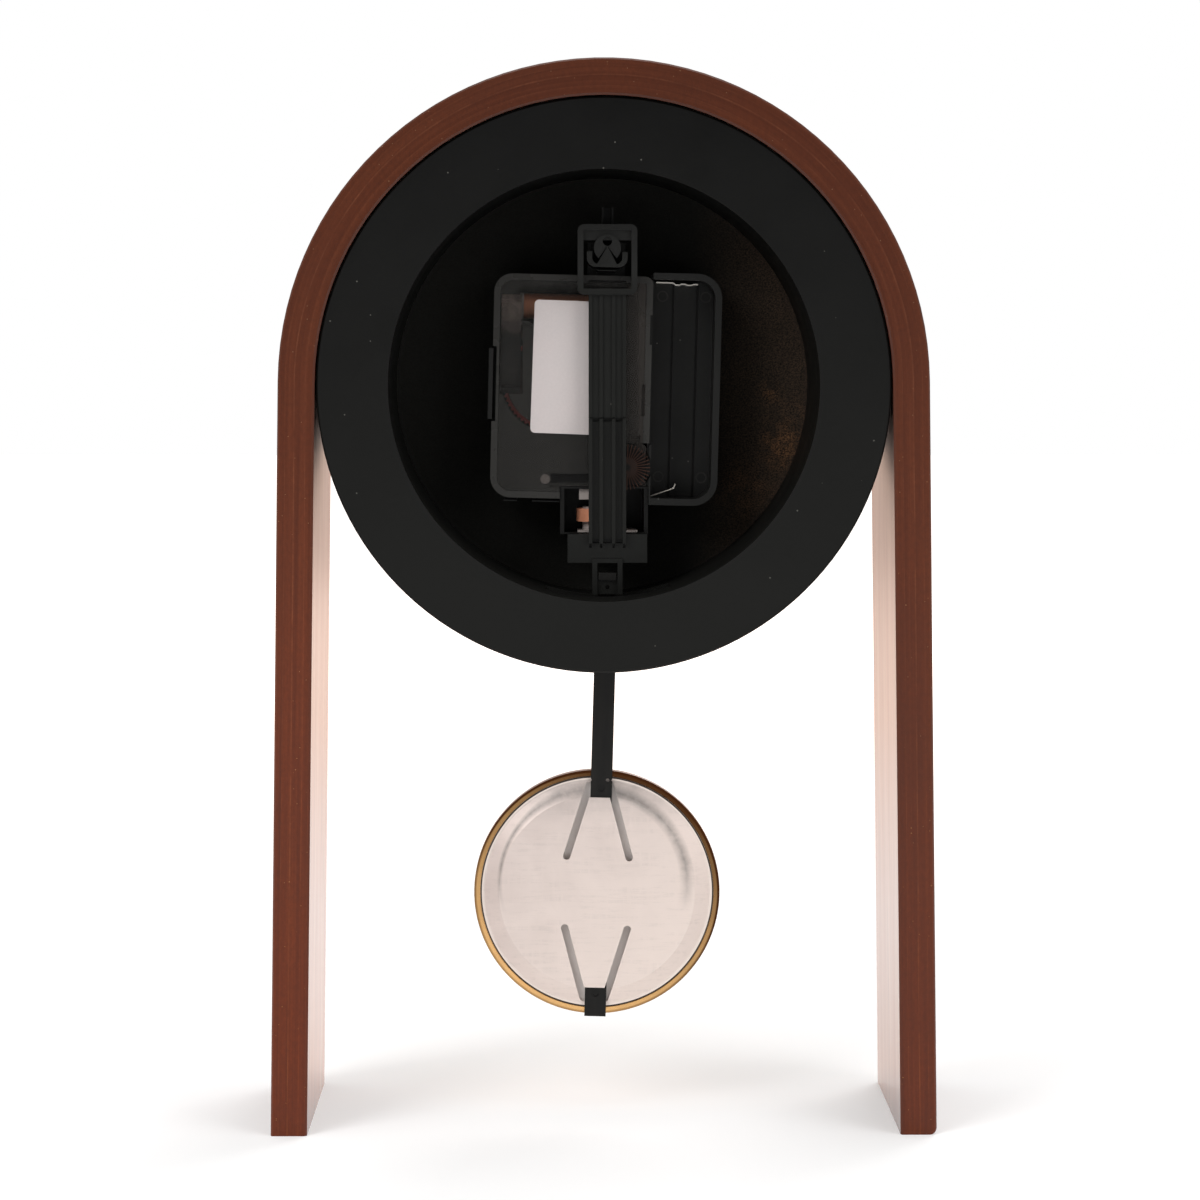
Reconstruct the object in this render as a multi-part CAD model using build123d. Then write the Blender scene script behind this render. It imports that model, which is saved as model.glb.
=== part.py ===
from build123d import *
import math
import os

# Desk pendulum clock: a bent plywood arch holds a black drum, whose open back shows a quartz
# movement, and a pendulum hangs from the movement down between the legs.
# Millimetres, +Z up. The dial faces -Y, the open back faces +Y, and the origin lies on the
# table under the middle of the feet. In outlines the first value is X and the second is Z.

# Arch of bent plywood
axis_height = 177.5
arch_inner_radius = 67.7
arch_wall = 8.6
arch_depth = 60.0
leg_splay_deg = 0.9
arch_inner_chamfer = 0.5
arch_outer_chamfer = 0.4
foot_corner_radius = 1.8

# Gaps shared by many pieces
seat_gap = 0.3
running_gap = 0.05
play = 0.15
end_play = 0.1
overrun = 1.0

# Drum, board and dial
drum_setback = 1.0
drum_edge_chamfer = 0.4
recess_radius = 50.6
recess_depth = 42.0
board_thickness = 3.0
board_rim = 9.4
dial_border = 2.0
dial_thickness = 0.5
slot_width = 30.0
slot_depth = 11.0

# Bezel and lens
bezel_depth = 12.3
bezel_inset = 0.4
bezel_shoulder = 5.0
bezel_lip = 2.0
bezel_lip_depth = 2.1
bezel_back_step = 0.7
bezel_face = 3.0
lens_thickness = 1.8
spacer_wall = 1.5

# Movement case
movement_side = 56.0
movement_depth = 16.0
movement_shift_x = -0.28
movement_shift_z = -0.55
case_lean_deg = -1.4
washer_thickness = 0.5
case_floor = 1.5
case_wall = 1.6
snap_length = 17.1
snap_reach = 0.95
snap_thickness = 1.05
snap_foot = 3.0
snap_setback = 0.6
snap_notch = 0.9
snap_notch_gap = 0.5
low_snap_start = 9.8
low_snap_width = 6.7
side_snap_start = 20.2
side_snap_width = 3.2
low_snap_thickness = 0.3
low_snap_setback = 2.0

# Battery bay
bay_width = 14.6
bay_wall = 1.0
bay_corner_radius = 6.0
bay_end_corner = 0.9
bay_inner_corner = 0.4
bay_shelf_height = 1.3
bay_shelf_width = 4.4
bay_outer_shelf_width = 3.65
bay_groove_width = 0.58
bay_channel_drop = 0.3
bay_gap_depth = 5.5
ejector_radius = 1.2
ejector_depth = 0.15
ejector_rise = 22.1

# Cover
cover_step = 1.0
cover_gap = 0.5
cover_corner_radius = 4.4
cover_low_corner_radius = 5.0
cover_bay_corner_radius = 2.0
cover_plate = 1.4
cover_skirt = 7.0
cover_rim_width = 1.55
cover_rim_height = 0.3
jog_depth = 0.5
jog_length = 7.1
jog_rise = 13.65
vent_width = 0.85
vent_length = 7.6
vent_drop = 3.3
vent_inset = 1.3
vent_depth = 0.9
tray_start = 12.2
tray_end = -1.0
tray_low = 24.8
tray_height = 3.3
tray_depth = 0.6
stud_radius = 1.2
stud_height = 0.25
stud_shift_x = 13.4
stud_drop = 22.9
gate_radius = 0.95
gate_shift_x = 7.0
gate_drop = 19.4
catch_shift_x = -0.56
catch_width = 8.9
catch_foot_width = 11.0
catch_height = 2.0
catch_drop = 1.1
catch_groove = 0.42
catch_depth = 0.35

# Shaft, nut and hands
bush_radius = 4.0
bush_length = 6.9
board_hole_gap = 0.2
pipe_radius = 2.2
arbor_radius = 1.25
nut_width = 11.0
nut_thickness = 2.0
nut_washer_radius = 7.0
rubber_washer_radius = 11.0
hand_thickness = 0.5
hand_gap = 0.9
pipe_stand = 1.8
hour_hand_length = 33.0
minute_hand_length = 47.0
hand_boss_radius = 3.6
hand_seat = 0.4
press_gap = 0.02
hour_hand_deg = 305.0
minute_hand_deg = 60.0
hand_nut_radius = 2.4
hand_nut_height = 1.1

# Wheels
pressure_deg = 20.0
addendum_share = 0.85
dedendum_share = 1.2
tooth_thickness_share = 0.9
wheel_thickness = 0.9
wheel_gap = 0.6
floor_gap = 0.3
pinion_overhang = 0.2
pivot_radius = 0.6
post_radius = 0.4
post_foot_radius = 0.7
pivot_depth = 0.7
hub_radius = 2.2
train_module = 0.389
fourth_module = 0.4255
third_module = 0.2594
centre_module = 0.245
motion_module = 0.4
hour_module = 0.384
rotor_teeth = 8
fifth_teeth = 60
fifth_pinion_teeth = 12
fourth_teeth = 48
fourth_pinion_teeth = 8
third_teeth = 60
third_pinion_teeth = 8
centre_teeth = 64
cannon_teeth = 12
minute_wheel_teeth = 36
minute_pinion_teeth = 10
hour_teeth = 40
setting_teeth = 19
fifth_direction_deg = 1.6
third_direction_deg = 103.0
rotor_direction_deg = 60.0
setting_direction_deg = 251.8

# Setting knob in its well of the cover
knob_radius = 5.5
knob_gap = 0.4
knob_body = 1.15
knob_body_inset = 0.9
knob_rib_height = 0.8
knob_rib_count = 36
knob_rib_start = 2.4
knob_hub_radius = 1.9
knob_drop = 1.2
well_floor = 0.8
well_width = 6.0
well_rise = 7.7
well_depth = 1.0

# Stepping motor and circuit
coil_radius = 3.1
coil_length = 16.0
coil_shift_x = 11.6
coil_shift_z = 18.9
flange_side = 6.3
flange_thickness = 1.0
core_side = 1.6
core_overhang = 2.6
stator_thickness = 1.0
stator_width = 2.4
rotor_magnet_radius = 2.2
rotor_magnet_length = 3.0
stator_air_gap = 0.4
stator_collar = 0.8
board_width = 4.9
board_height = 23.9
board_inset = 0.2
board_drop = 2.4
circuit_thickness = 1.0
circuit_drop = 0.9
crystal_radius = 0.9
crystal_length = 6.0

# Battery contacts
contact_thickness = 0.3
contact_height = 9.0
contact_gap = 0.5
contact_wave = 0.5
wire_radius = 0.23
wire_run = 5.9
wire_rise = 2.05
wire_tip_run = 0.35
wire_tip_rise = 1.15
wire_bend = 0.8

# Label
label_width = 21.6
label_height = 32.1
label_thickness = 0.1
label_tilt_deg = 0.7
label_shift_x = 6.3
label_shift_z = 4.15
label_corner_radius = 1.1

# Hanger with its knife edge
arm_shift_x = -1.05
knife_height = 33.35
knife_half_deg = 29.0
knife_rise = 4.3
cradle_thickness = 0.7
cradle_wall = 1.3
cradle_inner = 3.6
cradle_corner_radius = 2.2
cradle_lip_drop = 1.3
cradle_shelf_width = 4.3
cradle_shelf_drop = 0.6
cradle_shelf_thickness = 0.25
hanger_width = 9.2
hanger_wall = 2.0
hanger_setback = 8.5
hanger_foot = 1.2
hanger_foot_depth = 5.5
hanger_blade_thickness = 0.4
hanger_blade_spacing = 2.35
hanger_blade_depth = 5.0
hanger_tongue_top = 43.0
gusset_thickness = 1.4

# Drive unit below the movement
drive_width = 21.3
drive_height = 11.45
drive_top = 24.45
drive_shift_x = -0.3
drive_wall = 1.0
drive_floor = 0.4
drive_reach = 0.9
drive_foot_width = 14.5
drive_foot_shift_x = -1.15
drive_foot_thickness = 0.45
drive_coil_shift_x = 0.5
drive_coil_radius = 5.9
drive_flange_radius = 4.4
drive_flange = 2.0
drive_cap = 0.4
drive_winding = 3.15
drive_core_radius = 2.2
drive_block_side = 10.5
drive_block_rise = 7.85

# Pendulum arm
arm_gap = 1.1
arm_frame_width = 14.3
arm_frame_height = 16.8
arm_frame_rise = 5.25
arm_frame_wall = 1.4
arm_frame_corner = 1.6
arm_frame_depth = 4.0
arm_top_bar = 3.8
arm_recess_depth = 2.6
arm_disc_radius = 3.25
arm_disc_drop = 0.4
arm_hole_radius = 1.1
arm_hole_rise = 1.2
arm_disc_depth = 3.4
notch_half_deg = 36.5
knife_gap = 0.05
arm_bar_width = 9.0
arm_bar_depth = 2.4
arm_lower_depth = 2.8
arm_lower_length = 31.3
arm_rib_width = 0.85
arm_rib_height = 1.4
arm_upper_rib_height = 0.6
arm_rib_inner = 1.5
arm_rib_run = 1.1
arm_notch_width = 0.55
arm_pocket_depth = 1.3
arm_pocket_height = 0.75
arm_seam_height = 0.25
arm_seam_depth = 1.1
cross_width = 19.2
cross_height = 6.9
cross_depth = 2.6
strip_width = 7.3
strip_rail = 1.2
strip_setback = 1.4
strip_plate = 1.0
strip_rail_depth = 2.0
strip_tail = 4.3
hook_window = 3.3
strip_hole_radius = 0.5
strip_hole_drop = 2.6
holder_width = 8.6
holder_height = 5.2
holder_reach = 12.6
magnet_radius = 3.0
magnet_length = 3.0
magnet_gap = 1.05

# Pendulum rod
rod_width = 5.2
rod_thickness = 0.8
rod_length = 108.6
rod_tilt_deg = -1.6
hook_width = 4.2
hook_lip = 1.75
hook_clear = 0.3
hook_seat = 0.15
dimple_radius = 0.85
dimple_drop = 51.7
low_dimple_drop = 102.0
rod_hole_radius = 0.45
rod_hole_drop = 49.7
rod_hole_shift = 1.5

# Bob
bob_radius = 29.9
bob_drop = 77.2
bob_shift_x = 0.35
bob_rim = 1.4
bob_rim_height = 3.1
bob_sheet = 0.7
bob_crown = 4.8
bob_disc_gap = 0.1
bob_sheet_back = 0.5
bob_step_inset = 6.1
bob_step_run = 3.6
bob_seat_wall = 0.8
slit_width = 1.8
slit_tip_inset = 3.9
slit_tip_half = 2.65
slit_run = 17.2
slit_root_half = 7.6
tongue_inset = 6.6

# Planes along Y, from the back of the arch forwards, then the movement's planes
arch_back = arch_depth / 2
drum_back = arch_back - drum_setback
recess_floor = drum_back - recess_depth
board_front = recess_floor - board_thickness
dial_front = board_front - dial_thickness
bezel_front = board_front - bezel_depth
lens_front = bezel_front + bezel_lip_depth
lens_back = lens_front + lens_thickness
case_front = recess_floor + washer_thickness
case_back = case_front + movement_depth
chamber_front = case_front + case_floor
cover_inside = case_back - cover_rim_height - cover_plate
cover_face = case_back - cover_rim_height
skirt_front = case_back - cover_skirt
arm_front = case_back + arm_gap

# Places across the movement, drawn upright and leaned about the shaft afterwards
case_left = movement_shift_x + movement_side / 2 - cover_step
case_right = movement_shift_x - movement_side / 2
case_low = axis_height + movement_shift_z - movement_side / 2
case_high = axis_height + movement_shift_z + movement_side / 2
cover_low = case_low + cover_step
cover_high = case_high - cover_step
bay_left = case_right + case_wall + bay_width
cover_right = bay_left + cover_gap
partition_left = bay_left + bay_wall

# Radii of the front, from the drum inwards
drum_radius = arch_inner_radius - seat_gap
lens_radius = drum_radius - bezel_inset - bezel_shoulder - bezel_face
dial_radius = lens_radius + dial_border
board_radius = drum_radius - board_rim
knife_z = axis_height + knife_height
arm_x = arm_shift_x

# Drops below the knife edge: the arm's magnet rides just under the drive housing
magnet_drop = knife_height + drive_top + drive_height + magnet_gap
cross_drop = magnet_drop + holder_height + strip_hole_radius - cross_height
hook_drop = cross_drop + cross_height + hook_window
strip_drop = hook_drop + strip_tail


def block(x, y, z):
    """A box between the pairs of values given along X, Y and Z."""
    size = [abs(high - low) for low, high in (x, y, z)]
    middle = [(low + high) / 2 for low, high in (x, y, z)]
    return Pos(*middle) * Box(*size)


def across(middle, width):
    """The pair of values that a width takes about its middle."""
    return (middle - width / 2, middle + width / 2)


def plate(outline, front, back):
    """An outline drawn in X and Z, filled from one Y plane to another."""
    return Pos(0, back, 0) * Rot(X=90) * extrude(outline, back - front)


def cylinder(x, z, radius, front, back):
    """A round bar along Y."""
    return Pos(x, (front + back) / 2, z) * Rot(X=90) * Cylinder(radius, back - front)


def turned(profile, x, z):
    """A body of revolution about a Y axis, from a closed profile of radius and Y."""
    return Pos(x, 0, z) * revolve(make_face(profile), Axis.Y)


def polar(direction_deg, distance):
    """The X and Z steps of a distance in a direction, counted from +X towards +Z."""
    angle = math.radians(direction_deg)
    return (distance * math.cos(angle), distance * math.sin(angle))


def swung(body, place, turn_deg):
    """Turns a body about a Y axis through a place in X and Z."""
    x, z = place
    return Pos(x, 0, z) * Rot(Y=turn_deg) * Pos(-x, 0, -z) * body


def leaned(body):
    """Turns what was drawn upright about the shaft, as the movement stands in the drum."""
    return swung(body, shaft, case_lean_deg)


def level(index):
    """The front plane of one layer of wheels."""
    return chamber_front + floor_gap + index * (wheel_thickness + wheel_gap)


def involute(angle):
    return math.tan(angle) - angle


def half_tooth(teeth, pitch_radius, radius):
    """Half the angle that a tooth takes at a radius."""
    pressure = math.radians(pressure_deg)
    base_radius = pitch_radius * math.cos(pressure)
    slope = math.acos(min(1, base_radius / radius))
    at_pitch = math.pi / (2 * teeth) * tooth_thickness_share
    return at_pitch + involute(pressure) - involute(slope)


def gear_outline(teeth, module, turn_deg):
    """A toothed outline about the origin with one tooth at the turn given."""
    pitch_radius = teeth * module / 2
    root = pitch_radius - dedendum_share * module
    tip = pitch_radius + addendum_share * module
    is_pinion = teeth <= setting_teeth
    radii = [root, pitch_radius, tip] if is_pinion else [root, tip]
    flank = [(r, half_tooth(teeth, pitch_radius, r)) for r in radii]
    points = []
    for index in range(teeth):
        middle = math.radians(turn_deg) + 2 * math.pi * index / teeth
        corners = [(r, middle - half) for r, half in flank]
        corners += [(r, middle + half) for r, half in reversed(flank)]
        points += [(r * math.cos(a), r * math.sin(a)) for r, a in corners]
    return Polygon(*points)


def gear(teeth, module, turn_deg, place, front, back):
    """A toothed wheel about a place in X and Z, from one Y plane to another."""
    outline = Pos(*place) * gear_outline(teeth, module, turn_deg)
    return plate(outline, front, back)


def meshed(turn_deg, teeth, other_teeth, direction_deg):
    """The turn that sets a wheel's gap on the tooth of the wheel it meshes with."""
    share = (direction_deg - turn_deg) * teeth / 360
    return direction_deg + 180 - (1 / 2 - share) * 360 / other_teeth


# Centres of the wheels, each as X and Z
shaft = (0, axis_height)
fifth_distance = (fifth_pinion_teeth + fourth_teeth) * fourth_module / 2
third_distance = (third_pinion_teeth + centre_teeth) * centre_module / 2
rotor_distance = (rotor_teeth + fifth_teeth) * train_module / 2
minute_distance = (cannon_teeth + minute_wheel_teeth) * motion_module / 2
setting_distance = (minute_wheel_teeth + setting_teeth) * motion_module / 2


def beside(place, direction_deg, distance):
    step_x, step_z = polar(direction_deg, distance)
    return (place[0] + step_x, place[1] + step_z)


fifth_place = beside(shaft, fifth_direction_deg, fifth_distance)
third_place = beside(shaft, third_direction_deg, third_distance)
rotor_place = beside(fifth_place, rotor_direction_deg, rotor_distance)
minute_place = beside(shaft, setting_direction_deg, minute_distance)
setting_place = beside(minute_place, setting_direction_deg, setting_distance)

# Turns that put every pair in mesh at rest
fourth_turn = meshed(0, fifth_pinion_teeth, fourth_teeth, fifth_direction_deg + 180)
rotor_turn = meshed(0, fifth_teeth, rotor_teeth, rotor_direction_deg)
third_turn = meshed(fourth_turn, fourth_pinion_teeth, third_teeth, third_direction_deg)
centre_turn = meshed(third_turn, third_pinion_teeth, centre_teeth, third_direction_deg + 180)
minute_turn = meshed(0, cannon_teeth, minute_wheel_teeth, setting_direction_deg)
hour_turn = meshed(minute_turn, minute_pinion_teeth, hour_teeth, setting_direction_deg + 180)
setting_turn = meshed(minute_turn, minute_wheel_teeth, setting_teeth, setting_direction_deg)


def arch_outline(radius, end_z):
    """The outline of an arch with splayed legs that run down to a height."""
    splay = math.radians(leg_splay_deg)
    spring_x = radius * math.cos(splay)
    spring_z = axis_height + radius * math.sin(splay)
    end_x = spring_x + (spring_z - end_z) * math.tan(splay)
    crown = ThreePointArc((spring_x, spring_z), (0, axis_height + radius), (-spring_x, spring_z))
    legs = Polyline((-spring_x, spring_z), (-end_x, end_z), (end_x, end_z), (spring_x, spring_z))
    return make_face(crown + legs)


def arch_frame():
    """The bent plywood arch, standing on the ends of its two legs."""
    outer_radius = arch_inner_radius + arch_wall
    outline = arch_outline(outer_radius, 0) - arch_outline(arch_inner_radius, -overrun)
    body = plate(outline, -arch_back, arch_back)
    ends = body.faces().filter_by(Axis.Y)
    edges = [edge for face in ends for edge in face.edges()]
    above = [edge for edge in edges if edge.center().Z > arch_wall]
    inner = [edge for edge in above if from_spine(edge) < arch_inner_radius + arch_wall / 2]
    outer = [edge for edge in above if from_spine(edge) >= arch_inner_radius + arch_wall / 2]
    body = chamfer(inner, arch_inner_chamfer)
    body = chamfer(find_same(body, outer), arch_outer_chamfer)
    upright = body.edges().filter_by(Axis.Y)
    corner = min(upright, key=lambda edge: edge.center().X + edge.center().Z)
    return fillet(corner, foot_corner_radius)


def from_spine(edge):
    """How far an edge's middle lies from the arch's centre line."""
    middle = edge @ (1 / 2)
    splay = math.radians(leg_splay_deg)
    if middle.Z > axis_height:
        return math.hypot(middle.X, middle.Z - axis_height)
    return (abs(middle.X) - (axis_height - middle.Z) * math.tan(splay)) * math.cos(splay)


def find_same(body, wanted):
    """The edges of a body that lie where the wanted ones lay."""
    places = [edge @ (1 / 2) for edge in wanted]
    found = []
    for place in places:
        found.append(min(body.edges(), key=lambda edge: (edge @ (1 / 2) - place).length))
    return found


def case_ring():
    """The black drum wall, bored for the movement and slotted for the pendulum."""
    body = cylinder(*shaft, drum_radius, board_front, drum_back)
    body = chamfer(body.edges().filter_by(GeomType.CIRCLE), drum_edge_chamfer)
    body -= cylinder(*shaft, recess_radius, board_front - overrun, drum_back + overrun)
    body -= cylinder(*shaft, board_radius, board_front - overrun, recess_floor)
    slot_back = rod_front + rod_thickness / 2 + slot_depth / 2
    slot_y = (slot_back - slot_depth, slot_back)
    slot_z = (axis_height - drum_radius - overrun, axis_height)
    return body - block(across(arm_x, slot_width), slot_y, slot_z)


def dial_board():
    """The fibreboard disc that carries the dial and the movement."""
    body = cylinder(*shaft, board_radius - play, board_front, recess_floor)
    hole_radius = bush_radius + board_hole_gap
    return body - cylinder(*shaft, hole_radius, board_front - overrun, recess_floor + overrun)


def dial_plate():
    body = cylinder(*shaft, dial_radius, dial_front, board_front)
    hole_radius = bush_radius + board_hole_gap
    return body - cylinder(*shaft, hole_radius, dial_front - overrun, board_front + overrun)


def bezel():
    """The brass front ring, whose lip holds the lens and whose foot meets the drum."""
    outer = drum_radius - bezel_inset
    crest = outer - bezel_shoulder
    well = lens_radius + play
    lip = lens_radius - bezel_lip
    foot = dial_radius + play
    foot_front = dial_front - bezel_back_step
    shoulder_y = board_front - bezel_depth / 2
    edges = [
        Line((outer, board_front), (outer, shoulder_y)),
        RadiusArc((outer, shoulder_y), (crest, bezel_front), -(bezel_depth / 2 + bezel_shoulder)),
        Polyline((crest, bezel_front), (lip, lens_front), (well, lens_front)),
        Polyline((well, lens_front), (well, foot_front), (foot, foot_front), (foot, board_front)),
        Line((foot, board_front), (outer, board_front)),
    ]
    return turned(edges, *shaft)


def dial_lens():
    return cylinder(*shaft, lens_radius, lens_front, lens_back)


def lens_spacer():
    """The ring that holds the lens against the lip, in front of the dial."""
    body = cylinder(*shaft, lens_radius, lens_back, dial_front)
    inner = lens_radius - spacer_wall
    return body - cylinder(*shaft, inner, lens_back - overrun, dial_front + overrun)


def hex_nut():
    """The nut that clamps the board against the movement."""
    back = dial_front - washer_thickness
    radius = nut_width / math.sqrt(3)
    outline = Pos(*shaft) * RegularPolygon(radius, 6)
    body = plate(outline, back - nut_thickness, back)
    hole = bush_radius + running_gap
    return body - cylinder(*shaft, hole, back - nut_thickness - overrun, back + overrun)


def ring(radius, hole, front, back):
    """A flat ring about the shaft."""
    body = cylinder(*shaft, radius, front, back)
    return body - cylinder(*shaft, hole, front - overrun, back + overrun)


def mounting_bush():
    """The brass bush that carries the hour pipe and takes the nut."""
    flange = ring(bush_radius + case_floor, pipe_radius + running_gap, case_front, chamber_front)
    stem = ring(bush_radius, pipe_radius + running_gap, case_front - bush_length, chamber_front)
    return flange + stem


def rounded_case(left, right, low, high, radii):
    """A four-sided outline with a radius for each corner, from low left round to high left."""
    corners = [(left, low), (right, low), (right, high), (left, high)]
    return make_face(FilletPolyline(*corners, radius=radii, close=True))


def cover_outline(inset):
    """The outline of the movement beside its bay, drawn in by an inset on every side."""
    low_left = cover_low_corner_radius - inset
    high_left = cover_corner_radius - inset
    right = cover_bay_corner_radius - inset
    sides = (case_left - inset, cover_right + inset, cover_low + inset, cover_high - inset)
    return rounded_case(*sides, [low_left, right, right, high_left])


def drive_space(gap):
    """The box that the drive unit takes, grown by a gap."""
    z = (axis_height - drive_top - drive_height - gap, axis_height - drive_top + gap)
    x = across(drive_shift_x, drive_width + 2 * gap)
    return block(x, (chamber_front, case_back + overrun), z)


def movement_base():
    """The front half of the movement's case with its open battery bay and the wheels' posts."""
    radii = [bay_end_corner, bay_corner_radius, bay_corner_radius, bay_end_corner]
    bay_side = rounded_case(partition_left, case_right, case_low, case_high, radii)
    body = plate(cover_outline(0) + bay_side, case_front, case_back)
    past = (skirt_front, case_back + overrun)
    tall = (case_low - overrun, case_high + overrun)
    body -= block((cover_right, case_left + overrun), past, tall)
    inner_low = cover_low + case_wall
    inner_high = cover_high - case_wall
    chamber_x = (partition_left, case_left - case_wall)
    chamber = rounded_case(chamber_x[1], chamber_x[0], inner_low, inner_high, case_wall)
    body -= plate(chamber, chamber_front, case_back + overrun)
    knob_x, knob_z = setting_place
    partition_x = (bay_left, partition_left)
    body += block(partition_x, (skirt_front, cover_inside), (inner_low, inner_high))
    body += block(partition_x, (skirt_front, case_back), (case_low, knob_z - knob_radius))
    gap_y = (cover_inside - bay_gap_depth, case_back + overrun)
    gap_z = (knob_z + knob_radius, case_high - case_wall)
    body -= block((bay_left - overrun, cover_right), gap_y, gap_z)
    bay = bay_outline(case_low + case_wall, case_high - case_wall)
    body -= plate(bay, chamber_front, case_back + overrun)
    body += bay_floor(bay) + snap_strips()
    knob_front = cover_inside - knob_drop - knob_gap
    knob_room = knob_radius + knob_gap
    body -= cylinder(knob_x, knob_z, knob_room, knob_front, case_back + overrun)
    for place, shoulder, top in wheel_posts():
        body += cylinder(*place, post_foot_radius, chamber_front, shoulder)
        body += cylinder(*place, post_radius, shoulder, top)
    for place in (fifth_place, rotor_place, setting_place):
        radius = pivot_radius + running_gap
        socket_front = chamber_front - pivot_depth - end_play
        body -= cylinder(*place, radius, socket_front, chamber_front + end_play)
    bush_hole = bush_radius + case_floor
    return body - cylinder(*shaft, bush_hole, case_front - overrun, chamber_front + overrun)


def wheel_posts():
    """The fixed posts of the third and the minute wheel: place, shoulder and top."""
    third_post = (third_place, level(2) - pinion_overhang - end_play, level(3) + wheel_thickness)
    minute_post = (minute_place, level(0) - pinion_overhang, level(1) + wheel_thickness)
    return [third_post, minute_post]


def bay_outline(low, high):
    """The battery bay's inner outline."""
    corner = bay_corner_radius - case_wall
    radii = [bay_inner_corner, corner, corner, bay_inner_corner]
    return rounded_case(bay_left, case_right + case_wall, low, high, radii)


def bay_floor(outline):
    """The bay's floor: two shelves and a channel, parted by grooves, with ejector marks."""
    top = chamber_front + bay_shelf_height
    tall = (case_low, case_high)
    right = case_right + case_wall
    inner = (right + bay_outer_shelf_width, bay_left - bay_shelf_width)
    body = plate(outline, chamber_front, top)
    body -= block(inner, (top - bay_channel_drop, top + overrun), tall)
    for middle in (inner[0] + bay_groove_width / 2, inner[1] - bay_groove_width / 2):
        body -= block(across(middle, bay_groove_width), (chamber_front, top + overrun), tall)
    for x in ((right + inner[0]) / 2, (inner[1] + bay_left) / 2):
        for z in across(axis_height, 2 * ejector_rise):
            body -= cylinder(x, z, ejector_radius, top - ejector_depth, top + overrun)
    return body


def snap_strips():
    """The strips that stand off the base's side and foot and grip the cover."""
    foot_y = (skirt_front - snap_foot, skirt_front)
    back = case_back - snap_setback
    z = across(axis_height - play, snap_length)
    outer = case_left + snap_reach
    side = block((case_left - case_wall / 2, outer), foot_y, z)
    side += block((outer - snap_thickness, outer), (foot_y[0], back), z)
    lowest = cover_low - snap_reach
    back = case_back - low_snap_setback
    spans = [(low_snap_start, low_snap_width), (side_snap_start, side_snap_width)]
    for start, width in spans:
        x = (start, start + width)
        side += block(x, foot_y, (lowest, cover_low + case_wall / 2))
        side += block(x, (foot_y[0], back), (lowest, lowest + low_snap_thickness))
    return side


def movement_cover():
    """The smoky rear shell over the wheels, with the well of the setting knob."""
    body = plate(cover_outline(0), skirt_front, case_back)
    body -= plate(cover_outline(cover_rim_width), cover_face, case_back + overrun)
    chamber_z = (cover_low + case_wall, cover_high - case_wall)
    chamber = plate(cover_outline(case_wall), skirt_front - overrun, cover_inside)
    open_side = (cover_right - overrun, cover_right + 2 * case_wall)
    body -= chamber + block(open_side, (skirt_front - overrun, cover_inside), chamber_z)
    knob_x, knob_z = setting_place
    room = knob_radius + knob_gap
    well_back = cover_inside - knob_drop + well_floor
    well = cylinder(knob_x, knob_z, room + case_wall / 2, well_back - well_floor, cover_inside)
    well &= block((partition_left + play, case_left), (chamber_front, case_back), chamber_z)
    body += well
    cut = cylinder(knob_x, knob_z, room, well_back, case_back + overrun)
    past = (cover_inside, case_back + overrun)
    side = block((cover_right - overrun, knob_x), past, across(knob_z, 2 * room))
    mouth_y = (cover_face - well_depth, case_back + overrun)
    mouth = block(across(knob_x, well_width), mouth_y, (knob_z, knob_z + well_rise))
    body -= cut + side + mouth
    past = (skirt_front - overrun, case_back + overrun)
    body -= block((cover_right - overrun, partition_left), past, (case_low - overrun, knob_z))
    shank = pivot_radius + running_gap
    body -= cylinder(knob_x, knob_z, shank, chamber_front, case_back)
    for place in (shaft, fifth_place, rotor_place):
        depth = pivot_depth + end_play
        body -= cylinder(*place, shank, cover_inside - end_play, cover_inside + depth)
    return body - cover_notches() + cover_stud()


def cover_notches():
    """What is cut into the cover's edges and face."""
    past = (skirt_front - overrun, case_back + overrun)
    notch_z = across(axis_height - play, snap_length + 2 * snap_notch_gap)
    cut = block((case_left - snap_notch, case_left + overrun), past, notch_z)
    jog_z = across(axis_height + jog_rise, jog_length)
    cut += block((cover_right - overrun, cover_right + jog_depth), past, jog_z)
    vent_x = (cover_right + vent_inset, cover_right + vent_inset + vent_width)
    vent_z = across(axis_height - vent_drop, vent_length)
    cut += block(vent_x, (cover_face - vent_depth, past[1]), vent_z)
    tray_z = (axis_height - tray_low, axis_height - tray_low + tray_height)
    cut += block((tray_end, tray_start), (cover_face - tray_depth, past[1]), tray_z)
    gate_z = axis_height - gate_drop
    cut += cylinder(gate_shift_x, gate_z, gate_radius, cover_face - ejector_depth, past[1])
    ring = catch_outline(0) - catch_outline(catch_groove)
    return cut + plate(ring, cover_face - catch_depth, past[1])


def catch_outline(inset):
    """A keystone on the cover's upper edge, drawn in by an inset."""
    high = cover_high - catch_drop - inset
    low = cover_high - catch_drop - catch_height + inset
    top, foot = catch_width / 2 - inset, catch_foot_width / 2 - 2 * inset
    return Pos(catch_shift_x, 0) * Polygon((-foot, low), (foot, low), (top, high), (-top, high))


def cover_stud():
    """The round stud low on the cover."""
    place = (stud_shift_x, axis_height - stud_drop)
    return cylinder(*place, stud_radius, cover_inside, cover_face + stud_height)


def rating_label():
    """The bare paper label, stuck on a little askew."""
    outline = RectangleRounded(label_width, label_height, label_corner_radius)
    place = Pos(label_shift_x, axis_height + label_shift_z) * Rot(Z=label_tilt_deg)
    return plate(place * outline, cover_face, cover_face + label_thickness)


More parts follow.
